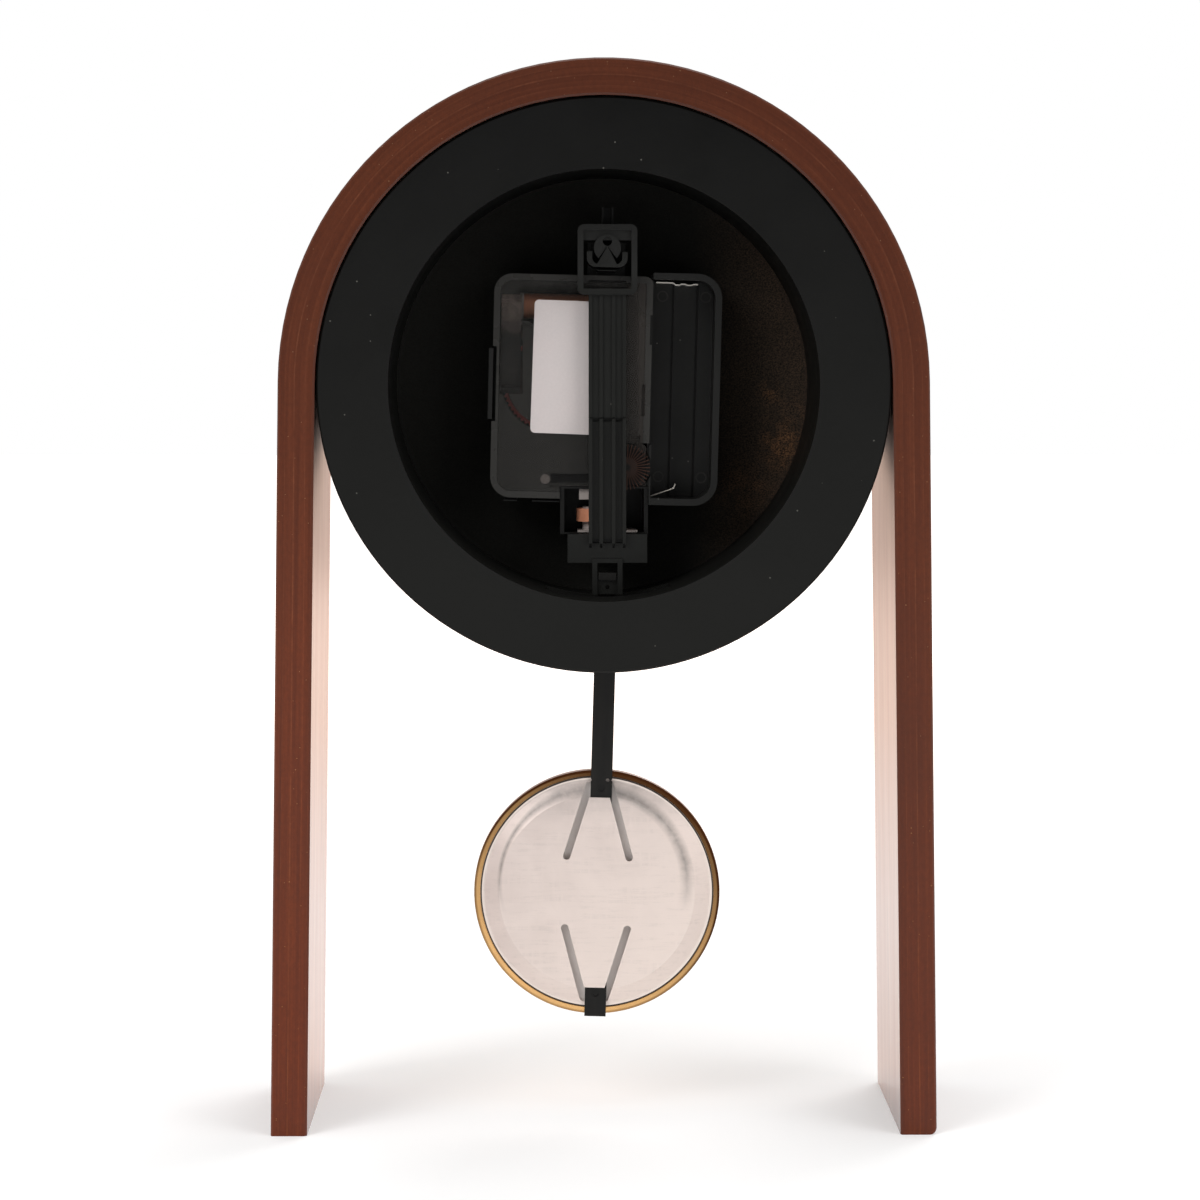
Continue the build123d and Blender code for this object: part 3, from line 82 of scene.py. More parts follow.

# Movement cover: the warm haze beside the arm, the raised rim's depth below the top, where a painted
# highlight lightens it, the pale stud, the slot darkened with painted shade, and what shows through
haze_sides = (-4, -9)
raised_depths = (0.35, 0.2)
stud_place = (13.96, 154.93)
stud_reach = (1.5, 0.8)
slot_height = 155.1
slot_half_width = (1.0, 1.2)
slot_left_end = (12.4, 12.7)
slot_right_end = (-2, 0)
rim_window = (0.4, 1.0)
rim_window_heights = (177, 175.5)
coil_window_edge = 2.2
board_window_edge = 0.3

# Red wheel: how far its rim lies inside the tips of its teeth, and the rim's half width
red_rim_inset = 1.0
red_rim_half_width = (0.45, 0.75)

# Ejector marks on the bay's floor
ejector_places = [(-13.74, 155.06), (-14.82, 199.24), (-24.31, 154.80), (-25.39, 198.99)]
ejector_radius = 1.2
ejector_line = (0.1, 0.25)

# Pendulum arm: the heights at which its window frame begins, over which a painted highlight lightens it
arm_frame_highlight_heights = (200, 206)

# Knob: the movement's lean, the ribs with painted shade in their grooves, and the painted lines of crest
# and groove shade that carry on towards the middle
case_lean_deg = -1.4
knob_rib_count = 36
knob_crest_depths = (0.75, 0.1)
knob_painted_reach = (0.6, 1.0)
knob_rib_reach = (2.3, 2.5)

# Circuit board: the height above which its parts are pale
board_pale_heights = (189, 195)

# Copper windings: from one turn of wire to the next
wire_pitch = 0.16

# Bob's disc: the circle of the crescents of painted dark reflection as its shift from the middle and its
# radius, how wide the crescents are from side to side, and the fades of painted shade towards the top and
# of a painted highlight ring and a painted shade line at the rim
crescent_shift = (0.9, 2.4)
crescent_radius = 22.8
crescent_sides = (6, 20)
crescent_widths = (1.9, 0.7)
crescent_heights = (-5, 7)
disc_top_shade_heights = (17, 26)
disc_highlight_edge = (0.75, 0.6)
disc_edge_shade = (0.34, 0.28)

# Bob's shell: the width of its rim and the painted shade line at its outside
bob_rim = 1.5
bob_outer_shade_edge = (0.7, 0.3)

# Pale face inside the bob
inner_face_inset = 1.0
inner_face_gap = 0.3
inner_face_thickness = 0.2
inner_face_sides = 96

# Corners of a square, as shares of its side from its middle
square_shares = [(-0.5, -0.5), (0.5, -0.5), (0.5, 0.5), (-0.5, 0.5)]

# Dial print
track_radius = 52.0
tick_length = 2.2
tick_width = 0.35
hour_tick_length = 3.6
hour_tick_width = 1.1
print_height = 0.06
numeral_radius = 42.0
numeral_size = 11.5
clock_hours = 12
clock_minutes = 60

# Floor, in metres: half its side, and where it fades to white, to warm and to its front gloss
floor_reach = 6.0
floor_white_reach = (0.35, 1.2)
floor_warm_ahead = (-0.3, -0.9)
floor_mirror_ahead = (0.02, -0.05)

# How bright the floor shows at the clock and in gloss behind and ahead of it, how bright the
# surround is as light and in gloss behind the clock, and its tone in gloss ahead of the clock
floor_glow = 0.24
floor_gloss_glow = 0.3
floor_front_gloss_glow = 0.58
world_glow = 0.45
back_glow = 0.15
world_fade = (-0.2, 0.9)
front_tone = (1.0, 0.80, 0.71)

# Softboxes: place, side length and power, in metres and watts
softboxes = {
    "key": ((1.1, 1.3, 1.2), 0.9, 15.0),
    "fill": ((-1.3, 1.2, 0.7), 1.0, 8.0),
    "top": ((0.0, 0.1, 1.7), 1.3, 9.0),
    "front": ((-0.7, -1.5, 1.0), 1.2, 16.0),
}


def rgba(value):
    """A plain colour with its alpha, or an output as it is."""
    return (*value, 1.0) if isinstance(value, tuple) else value


def round_of(name):
    """The middle of a round node in X and Z, and its radius."""
    low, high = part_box(name)
    return (low.x + high.x) / 2, (low.z + high.z) / 2, (high.x - low.x) / 2


class Nodes:
    """Short calls for the shader nodes that the materials and the world share."""

    def __init__(self, tree, places="Object"):
        self.tree = tree
        self.texture = self.add("ShaderNodeTexCoord")
        self.coords = self.texture.outputs[places]
        self.x, self.y, self.z = self.split(self.coords)

    def add(self, kind, **settings):
        node = self.tree.nodes.new(kind)
        for key, value in settings.items():
            setattr(node, key, value)
        return node

    def feed(self, socket, value):
        """Links an output to a socket, or sets the socket to a plain value."""
        if hasattr(value, "is_output"):
            self.tree.links.new(value, socket)
        else:
            socket.default_value = value

    def math(self, operation, first, second=0.0, clamp=False):
        node = self.add("ShaderNodeMath", operation=operation, use_clamp=clamp)
        self.feed(node.inputs[0], first)
        self.feed(node.inputs[1], second)
        return node.outputs[0]

    def plus(self, first, second, clamp=False):
        return self.math("ADD", first, second, clamp)

    def minus(self, first, second, clamp=False):
        return self.math("SUBTRACT", first, second, clamp)

    def times(self, first, second):
        return self.math("MULTIPLY", first, second)

    def larger(self, first, second):
        return self.math("MAXIMUM", first, second)

    def apart(self, first, second):
        """How far two values lie apart."""
        return self.math("ABSOLUTE", self.minus(first, second))

    def length(self, first, second):
        """The length of a step, from its two sides."""
        squares = self.plus(self.math("POWER", first, 2.0), self.math("POWER", second, 2.0))
        return self.math("SQRT", squares)

    def split(self, vector):
        node = self.add("ShaderNodeSeparateXYZ")
        self.feed(node.inputs[0], vector)
        return node.outputs

    def join(self, x, y, z):
        node = self.add("ShaderNodeCombineXYZ")
        for socket, value in zip(node.inputs, (x, y, z)):
            self.feed(socket, value)
        return node.outputs[0]

    def spread(self, value, low, high, to_low=0.0, to_high=1.0):
        """Maps a value from one range to another, held within its ends."""
        node = self.add("ShaderNodeMapRange")
        for socket, item in zip(node.inputs, (value, low, high, to_low, to_high)):
            self.feed(socket, item)
        return node.outputs[0]

    def fade(self, value, ends, to_low=0.0, to_high=1.0):
        """As spread, from a pair of ends in millimetres."""
        return self.spread(value, ends[0] * mm, ends[1] * mm, to_low, to_high)

    def blend(self, share, first, second):
        """Mixes two plain values."""
        node = self.add("ShaderNodeMix")
        for socket, value in ((node.inputs[0], share), (node.inputs[2], first), (node.inputs[3], second)):
            self.feed(socket, value)
        return node.outputs[0]

    def mix(self, share, first, second, blend="MIX"):
        """Mixes two colours."""
        node = self.add("ShaderNodeMix", data_type="RGBA", blend_type=blend)
        self.feed(node.inputs[0], share)
        self.feed(node.inputs[6], rgba(first))
        self.feed(node.inputs[7], rgba(second))
        return node.outputs[2]


class Surface(Nodes):
    """A procedural material, with short calls for its patterns and its shader."""

    def __init__(self, name, **settings):
        self.material = bpy.data.materials.new(name)
        self.material.use_nodes = True
        super().__init__(self.material.node_tree)
        self.shader = self.tree.nodes["Principled BSDF"]
        for socket, value in settings.items():
            self.shader.inputs[socket.replace("_", " ")].default_value = value

    def noise(self, scale, detail=4.0, roughness=0.55, stretch=(1, 1, 1), vector=None, distortion=0.0):
        place = self.add("ShaderNodeMapping")
        self.feed(place.inputs["Vector"], vector or self.coords)
        place.inputs["Scale"].default_value = stretch
        node = self.add("ShaderNodeTexNoise")
        self.feed(node.inputs["Vector"], place.outputs[0])
        node.inputs["Scale"].default_value = scale
        node.inputs["Detail"].default_value = detail
        node.inputs["Roughness"].default_value = roughness
        node.inputs["Distortion"].default_value = distortion
        return node.outputs[0]

    def cells(self, scale, output="Distance", randomness=1.0):
        node = self.add("ShaderNodeTexVoronoi")
        self.feed(node.inputs["Vector"], self.coords)
        node.inputs["Scale"].default_value = scale
        node.inputs["Randomness"].default_value = randomness
        return node.outputs[output]

    def specks(self, scale, radius, share):
        """Small dots: one in some of the cells, by share."""
        near = self.math("LESS_THAN", self.cells(scale), radius)
        shade = self.split(self.cells(scale, "Color"))[0]
        return self.times(near, self.math("LESS_THAN", shade, share))

    def ramp(self, value, stops):
        node = self.add("ShaderNodeValToRGB")
        self.feed(node.inputs[0], value)
        elements = node.color_ramp.elements
        while len(elements) < len(stops):
            elements.new(1.0)
        for element, (place, colour) in zip(elements, stops):
            element.position = place
            element.color = rgba(colour)
        return node.outputs[0]

    def reach(self, middle_x, middle_z):
        """The distance from an axis along Y."""
        return self.length(self.minus(self.x, middle_x), self.minus(self.z, middle_z))

    def facing(self):
        """How far the surface faces backwards, from -1 to 1."""
        return self.split(self.texture.outputs["Normal"])[1]

    def near(self, name, edge):
        """1 in front of and behind a node's box, faded over a soft edge."""
        low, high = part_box(name)
        inside = 1.0
        for value, start, end in ((self.x, low.x, high.x), (self.z, low.z, high.z)):
            half = (end - start) / 2
            offset = self.apart(value, (start + end) / 2)
            share = self.spread(offset, half - edge * mm / 4, half + edge * mm, 1.0, 0.0)
            inside = self.times(inside, share)
        return inside

    def bump(self, height, depth_mm, strength, below=None):
        node = self.add("ShaderNodeBump")
        node.inputs["Strength"].default_value = strength
        node.inputs["Distance"].default_value = depth_mm * mm
        self.feed(node.inputs["Height"], height)
        if below is not None:
            self.feed(node.inputs["Normal"], below)
        self.feed(self.shader.inputs["Normal"], node.outputs[0])
        return node.outputs[0]

    def base(self):
        """What the base colour is fed with so far."""
        return self.shader.inputs["Base Color"].links[0].from_socket

    def colour(self, value):
        self.feed(self.shader.inputs["Base Color"], rgba(value))

    def rough(self, value):
        self.feed(self.shader.inputs["Roughness"], value)


def dress(surface, *names):
    """Gives a material to CAD nodes."""
    for name in names:
        slots = nodes[name].data.materials
        slots.clear()
        slots.append(surface.material)


def ply_places(wood):
    """Places in the bent sheet as along, depth and radius, and the share of the way through it."""
    above = wood.minus(wood.z, axis_height)
    drop = wood.larger(wood.times(above, -1.0), 0.0)
    rise = wood.larger(above, 0.0)
    spine_x = wood.minus(wood.math("ABSOLUTE", wood.x), wood.times(drop, splay_slope))
    radius = wood.length(spine_x, rise)
    turn = wood.math("ARCTAN2", spine_x, rise)
    run = wood.plus(wood.times(turn, arch_outer_radius), drop)
    along = wood.join(wood.times(wood.math("SIGN", wood.x), run), wood.y, radius)
    return along, wood.spread(radius, arch_inner_radius, arch_outer_radius)


def glue_lines(wood, along, across):
    """The ply's pale glue lines, which wander a little and break off in places."""
    drift = wood.noise(scale=30, detail=2, roughness=0.5, stretch=(0.3, 0, 0), vector=along)
    place = wood.plus(across, wood.times(wood.minus(drift, 0.5), glue_line_wander_share))
    breaks = wood.noise(scale=160, detail=3, roughness=0.6, stretch=(0.5, 0, 0), vector=along)
    broken = wood.spread(breaks, 0.35, 0.6)
    lines = 0.0
    for middle, width, weight in glue_line_shares:
        line = wood.spread(wood.apart(place, middle), 0.0, width, 1.0, 0.0)
        lines = wood.larger(lines, wood.times(wood.times(line, weight), broken))
    return lines


def cut_edge_stain(wood, streaks, along, across):
    """The stained cut edge: streaks, glue lines, dark mottle and pale specks."""
    deep, middle, pale = (0.092, 0.0185, 0.0050), (0.140, 0.0300, 0.0078), (0.185, 0.044, 0.013)
    glue, mottle, speck = (0.30, 0.095, 0.040), (0.05, 0.0115, 0.0035), (0.5, 0.28, 0.15)
    stain = wood.ramp(streaks, [(0.25, deep), (0.55, middle), (0.8, pale)])
    stain = wood.mix(glue_lines(wood, along, across), stain, glue)
    clouds = wood.noise(scale=1100, detail=3, roughness=0.7, stretch=(1, 1, 0.6))
    stain = wood.mix(wood.spread(clouds, 0.35, 0.65, 0.3, 0.0), stain, mottle)
    fine = wood.specks(scale=1300, radius=0.14, share=0.07)
    coarse = wood.specks(scale=620, radius=0.1, share=0.06)
    return wood.mix(wood.times(wood.larger(fine, coarse), 0.5), stain, speck)


def veneer_face(wood, veneer, along):
    """The broad faces: long grain with dark pores."""
    deep, middle, pale = (0.075, 0.018, 0.009), (0.13, 0.033, 0.016), (0.2, 0.058, 0.028)
    pore = (0.045, 0.012, 0.007)
    pores = wood.noise(scale=420, detail=3, roughness=0.6, stretch=(0.05, 2.2, 1), vector=along)
    face = wood.ramp(veneer, [(0.2, deep), (0.5, middle), (0.85, pale)])
    return wood.mix(wood.spread(pores, 0.42, 0.36), face, pore)


def arch_wood():
    """Stained and lacquered bent ply: glue lines on the cut edges, long grain on the faces, painted shade
    darkening the top and the -X side, and painted warm light on the low legs.
    """
    grime_tone, painted_shade_tone, painted_light_tint = (0.05, 0.014, 0.008), (0.03, 0.010, 0.006), (1.15, 0.85, 0.35)
    lacquer = {"Coat_Weight": 0.9, "Coat_Roughness": 0.2, "Coat_IOR": 1.25}
    wood = Surface("arch wood", Specular_IOR_Level=0.15, **lacquer)
    along, across = ply_places(wood)
    cut_edge = wood.spread(wood.math("ABSOLUTE", wood.facing()), 0.55, 0.8)
    streaks = wood.noise(scale=90, detail=6, roughness=0.65, stretch=(0.12, 1, 9), vector=along)
    long_grain = {"stretch": (0.08, 4, 1), "vector": along}
    veneer = wood.noise(scale=70, detail=7, roughness=0.6, distortion=0.6, **long_grain)
    face = veneer_face(wood, veneer, along)
    colour = wood.mix(cut_edge, face, cut_edge_stain(wood, streaks, along, across))
    grime = wood.noise(scale=22, detail=3, roughness=0.5)
    colour = wood.mix(wood.spread(grime, 0.35, 0.7, 0.25, 0.0), colour, grime_tone)
    # Painted shade: darker towards the top and on the -X side
    deep = wood.fade(wood.z, arch_shade_heights, 0.0, 0.45)
    far = wood.fade(wood.x, arch_shade_sides, 0.28, 0.0)
    colour = wood.mix(wood.larger(deep, far), colour, painted_shade_tone)
    # Painted light: the low legs are tinted warmer, as the light falls there
    low = wood.fade(wood.z, arch_light_heights, 1.0, 0.0)
    wood.colour(wood.mix(low, colour, painted_light_tint, "MULTIPLY"))
    wood.rough(wood.spread(streaks, 0.2, 0.8, 0.3, 0.42))
    peel = wood.bump(wood.noise(scale=260, detail=2, roughness=0.5), depth_mm=0.02, strength=0.25)
    wood.bump(wood.mix(cut_edge, veneer, streaks), depth_mm=0.05, strength=0.35, below=peel)
    dress(wood, "arch_frame")


def drum_paint():
    """Satin black paint with a faint orange peel, a few dust specks and painted shade darkening it
    towards the top.
    """
    black, cloud_tone, dark = (0.0066, 0.0067, 0.0060), (0.0090, 0.0091, 0.0082), (0.0012, 0.0012, 0.0011)
    dust_tone = (0.3, 0.29, 0.26)
    paint = Surface("drum paint", Specular_IOR_Level=0.15)
    base = paint.mix(paint.noise(scale=18, detail=3, roughness=0.5), black, cloud_tone)
    # Painted shade: darker towards the top
    base = paint.mix(paint.fade(paint.z, drum_shade_heights, 0.0, 0.95), base, dark)
    dust = paint.times(paint.specks(scale=330, radius=0.06, share=0.2), 0.3)
    paint.colour(paint.mix(dust, base, dust_tone))
    paint.rough(paint.spread(paint.noise(scale=60, roughness=0.6), 0.3, 0.7, 0.4, 0.52))
    paint.bump(paint.noise(scale=900, detail=2, roughness=0.5), depth_mm=0.01, strength=0.35)
    dress(paint, "case_ring")


def fibreboard():
    """Black stained fibreboard whose brown fibres show through in places."""
    dark, pale = (0.0055, 0.0054, 0.0047), (0.0125, 0.012, 0.0100)
    brown, bare = (0.085, 0.053, 0.034), (0.42, 0.19, 0.075)
    board = Surface("fibreboard", Specular_IOR_Level=0.15, Roughness=0.85)
    fibres = board.noise(scale=2400, roughness=0.7, stretch=(1, 1, 1.3))
    patch = board.noise(scale=45, roughness=0.6)
    shown = board.times(board.spread(fibres, 0.36, 0.66), board.fade(board.x, fibre_sides))
    shown = board.times(shown, board.spread(patch, 0.3, 0.7, 0.45, 1.0))
    base = board.mix(board.spread(fibres, 0.3, 0.7), dark, pale)
    base = board.mix(shown, base, brown)
    broken = board.spread(board.noise(scale=320, detail=3, roughness=0.6), 0.38, 0.62)
    for middle_x, middle_z, reach, weight in bare_patches:
        spot = board.fade(board.reach(middle_x * mm, middle_z * mm), (0, reach), weight, 0.0)
        bright = board.times(board.times(spot, board.spread(fibres, 0.42, 0.6)), broken)
        base = board.mix(bright, base, bare)
    board.colour(base)
    board.bump(fibres, depth_mm=0.06, strength=0.4)
    dress(board, "dial_board")


def moulded(name, base, rough_low, rough_high, grain_mm=0.015, specular=0.2):
    """Moulded plastic with fine spark grain, flow clouds and a little dust."""
    dust_tone = (0.4, 0.38, 0.34)
    light = tuple(min(1.0, part * 1.45 + 0.002) for part in base)
    plastic = Surface(name, Specular_IOR_Level=specular)
    colour = plastic.mix(plastic.noise(scale=55, detail=3, roughness=0.5), base, light)
    dust = plastic.times(plastic.specks(scale=520, radius=0.1, share=0.08), 0.18)
    plastic.colour(plastic.mix(dust, colour, dust_tone))
    wear = plastic.noise(scale=140, roughness=0.6)
    plastic.rough(plastic.spread(wear, 0.3, 0.7, rough_low, rough_high))
    plastic.bump(plastic.noise(scale=2600, detail=2, roughness=0.6), grain_mm, strength=0.5)
    return plastic


def cover_slot(smoke):
    """The share of the slot beside the stud, darkened with painted shade."""
    left = smoke.fade(smoke.x, slot_left_end, 1.0, 0.0)
    high = smoke.fade(smoke.apart(smoke.z, slot_height * mm), slot_half_width, 1.0, 0.0)
    return smoke.times(smoke.times(left, high), smoke.fade(smoke.x, slot_right_end))


def cover_windows(smoke):
    """How clear the cover is over the red wheel's rim, the motor's coil and the circuit board."""
    middle_x, middle_z, radius = round_of("fifth_wheel")
    offset = smoke.apart(smoke.reach(middle_x, middle_z), radius - red_rim_inset * mm)
    rim = smoke.times(smoke.fade(offset, rim_window, 0.5, 0.0), smoke.fade(smoke.z, rim_window_heights))
    coil = smoke.times(smoke.near("motor_coil", coil_window_edge), 0.8)
    board = smoke.times(smoke.near("circuit_board", board_window_edge), 0.48)
    return smoke.larger(smoke.larger(rim, coil), board)


def smoky_plastic():
    """The cover's smoky plastic: clearer over the coil, the red rim and the board, with a painted
    highlight on its raised rim and painted shade in its slot.
    """
    deep, pale, haze = (0.017, 0.016, 0.0142), (0.0265, 0.0248, 0.0221), (0.046, 0.036, 0.030)
    rim_tone, slot_shade_tone = (0.034, 0.0328, 0.0303), (0.004, 0.0037, 0.0033)
    stud_tone = (0.085, 0.073, 0.066)
    smoke = Surface("smoky plastic", Specular_IOR_Level=0.2)
    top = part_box("movement_cover")[1].y
    cloud = smoke.noise(scale=70, roughness=0.6)
    aside = smoke.fade(smoke.x, haze_sides)
    raised = smoke.spread(smoke.y, top - raised_depths[0] * mm, top - raised_depths[1] * mm)
    stud = smoke.fade(smoke.reach(stud_place[0] * mm, stud_place[1] * mm), stud_reach)
    panel = smoke.mix(cloud, deep, pale)
    panel = smoke.mix(smoke.times(aside, 0.6), panel, haze)
    # Painted highlight: the raised rim is lighter
    panel = smoke.mix(raised, panel, rim_tone)
    # Painted shade: the slot is dark
    panel = smoke.mix(cover_slot(smoke), panel, slot_shade_tone)
    smoke.colour(smoke.mix(stud, panel, stud_tone))
    solid = smoke.minus(smoke.spread(cloud, 0.3, 0.7, 0.76, 0.84), cover_windows(smoke))
    solid = smoke.larger(solid, smoke.times(aside, 0.93))
    solid = smoke.larger(solid, smoke.larger(stud, raised))
    smoke.feed(smoke.shader.inputs["Alpha"], solid)
    smoke.rough(smoke.spread(smoke.noise(scale=120, roughness=0.6), 0.3, 0.7, 0.22, 0.38))
    smoke.bump(smoke.noise(scale=300, detail=3, roughness=0.5), depth_mm=0.01, strength=0.3)
    dress(smoke, "movement_cover")


def red_wheel():
    """The fifth wheel: red plastic, shown in its red only in a band at its rim and darkened elsewhere
    with painted shade.
    """
    web_shade, rim_tone = (0.05, 0.022, 0.018), (0.75, 0.12, 0.10)
    # Painted shade: the web is dark, and the wheel's red shows only in the band at its rim
    red = moulded("red wheel plastic", web_shade, 0.35, 0.5)
    middle_x, middle_z, radius = round_of("fifth_wheel")
    offset = red.apart(red.reach(middle_x, middle_z), radius - red_rim_inset * mm)
    rim = red.fade(offset, red_rim_half_width, 1.0, 0.0)
    red.colour(red.mix(rim, red.base(), rim_tone))
    dress(red, "fifth_wheel")


def case_plastic():
    """The case's black plastic, with the pale rings of ejector pins on the bay's floor."""
    black, ring_tone = (0.0082, 0.0082, 0.0076), (0.03, 0.029, 0.027)
    case = moulded("case plastic", black, 0.4, 0.52)
    base = case.base()
    for middle_x, middle_z in ejector_places:
        offset = case.apart(case.reach(middle_x * mm, middle_z * mm), ejector_radius * mm)
        base = case.mix(case.fade(offset, ejector_line, 0.8, 0.0), base, ring_tone)
    case.colour(base)
    dress(case, "movement_base")


def arm_plastic():
    """The arm's black plastic, with a painted highlight making its window frame paler."""
    black, frame_highlight_tone = (0.0058, 0.0061, 0.0052), (0.0175, 0.0175, 0.0165)
    arm = moulded("arm plastic", black, 0.34, 0.48)
    # Painted highlight: the window frame is paler
    arm.colour(arm.mix(arm.fade(arm.z, arm_frame_highlight_heights, 0.0, 0.8), arm.base(), frame_highlight_tone))
    dress(arm, "pendulum_arm")


def knob_plastic():
    """The knob's brown plastic on the crests of its ribs, with painted shade darkening the grooves
    between them.
    """
    groove_shade, rib_tone = (0.003, 0.0025, 0.002), (0.05, 0.021, 0.013)
    knob = moulded("knob plastic", groove_shade, 0.4, 0.52)
    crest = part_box("setting_wheel")[1].y
    middle_x, middle_z, radius = round_of("setting_wheel")
    turn = knob.math("ARCTAN2", knob.minus(knob.z, middle_z), knob.minus(knob.x, middle_x))
    ribs = knob.minus(turn, math.radians(-case_lean_deg))
    ribs = knob.times(ribs, knob_rib_count / (2 * math.pi))
    painted = knob.spread(knob.math("PINGPONG", ribs, 0.5), 0.18, 0.3, 1.0, 0.0)
    reach = knob.reach(middle_x, middle_z)
    painted = knob.times(painted, knob.fade(reach, knob_painted_reach))
    rib = knob.spread(knob.y, crest - knob_crest_depths[0] * mm, crest - knob_crest_depths[1] * mm)
    outer = knob.fade(reach, knob_rib_reach)
    inner = knob.minus(1.0, outer)
    rib = knob.plus(knob.times(rib, outer), knob.times(painted, inner), clamp=True)
    # Painted shade in the grooves; the crests keep the brown plastic
    knob.colour(knob.mix(rib, knob.base(), rib_tone))
    dress(knob, "setting_wheel")


def label_paper():
    """The label's plain white paper, a little wavy where it is glued."""
    dull, white, stain = (0.62, 0.555, 0.545), (0.72, 0.65, 0.635), (0.6, 0.57, 0.56)
    paper = Surface("label paper", Roughness=0.55, Specular_IOR_Level=0.35)
    fibres = paper.noise(scale=1500, detail=5, roughness=0.65)
    cloud = paper.noise(scale=110, detail=3, roughness=0.5)
    tone = paper.mix(fibres, dull, white)
    paper.colour(paper.mix(paper.spread(cloud, 0.4, 0.7, 0.0, 0.25), tone, stain))
    weave = paper.bump(fibres, depth_mm=0.01, strength=0.3)
    paper.bump(cloud, depth_mm=0.05, strength=0.35, below=weave)
    dress(paper, "rating_label")


def metal(name, base, dark, rough_low, rough_high, stretch=(1, 1, 1), scratch=900, lines_mm=0.004):
    """Plain metal with fine lines along one direction and faint stains."""
    plate = Surface(name, Metallic=1.0)
    lines = plate.noise(scratch, roughness=0.6, stretch=stretch)
    stain = plate.noise(scale=80, roughness=0.6)
    plate.colour(plate.mix(plate.spread(stain, 0.35, 0.75), base, dark))
    plate.rough(plate.spread(lines, 0.25, 0.75, rough_low, rough_high))
    plate.bump(lines, lines_mm, strength=0.3)
    return plate


def copper_winding(name, node, axis):
    """Enamelled copper wire: fine turns side by side along an axis, counted from X."""
    deep, bright = (0.9, 0.33, 0.18), (1.0, 0.46, 0.28)
    wire = Surface(name, Metallic=0.25)
    run = (wire.x, wire.y, wire.z)[axis]
    turns = wire.math("SINE", wire.times(run, 2 * math.pi / (wire_pitch * mm)))
    wire.colour(wire.mix(wire.noise(scale=160, detail=3, roughness=0.6), deep, bright))
    wire.rough(wire.spread(turns, -1.0, 1.0, 0.42, 0.26))
    wire.bump(turns, depth_mm=0.05, strength=0.6)
    dress(wire, node)


def blackened_steel():
    """The pendulum strip: blackened and oiled steel, worn along its length."""
    black, dull, worn = (0.005, 0.0048, 0.0045), (0.010, 0.0092, 0.0080), (0.032, 0.028, 0.023)
    steel = Surface("blackened steel", Metallic=0.2, Specular_IOR_Level=0.25)
    rub = steel.noise(scale=160, detail=5, roughness=0.65, stretch=(3, 3, 0.25))
    steel.colour(steel.ramp(rub, [(0.3, black), (0.6, dull), (0.85, worn)]))
    steel.rough(steel.spread(rub, 0.3, 0.8, 0.34, 0.5))
    pits = steel.noise(scale=1200, detail=3, roughness=0.6, stretch=(1, 1, 0.3))
    steel.bump(pits, depth_mm=0.01, strength=0.4)
    dress(steel, "pendulum_rod")


def disc_crescents(disc, middle_x, middle_z):
    """The share of the two crescents of painted dark reflection: parts of one circle, wider on one side.
    """
    shift_x, shift_z = crescent_shift
    reach = disc.reach(middle_x + shift_x * mm, middle_z + shift_z * mm)
    wide, narrow = (width * mm for width in crescent_widths)
    width = disc.fade(disc.minus(disc.x, middle_x), crescent_sides, wide, narrow)
    offset = disc.apart(reach, crescent_radius * mm)
    band = disc.minus(1.0, disc.math("DIVIDE", offset, width), clamp=True)
    return disc.times(band, disc.fade(disc.minus(disc.z, middle_z), crescent_heights))


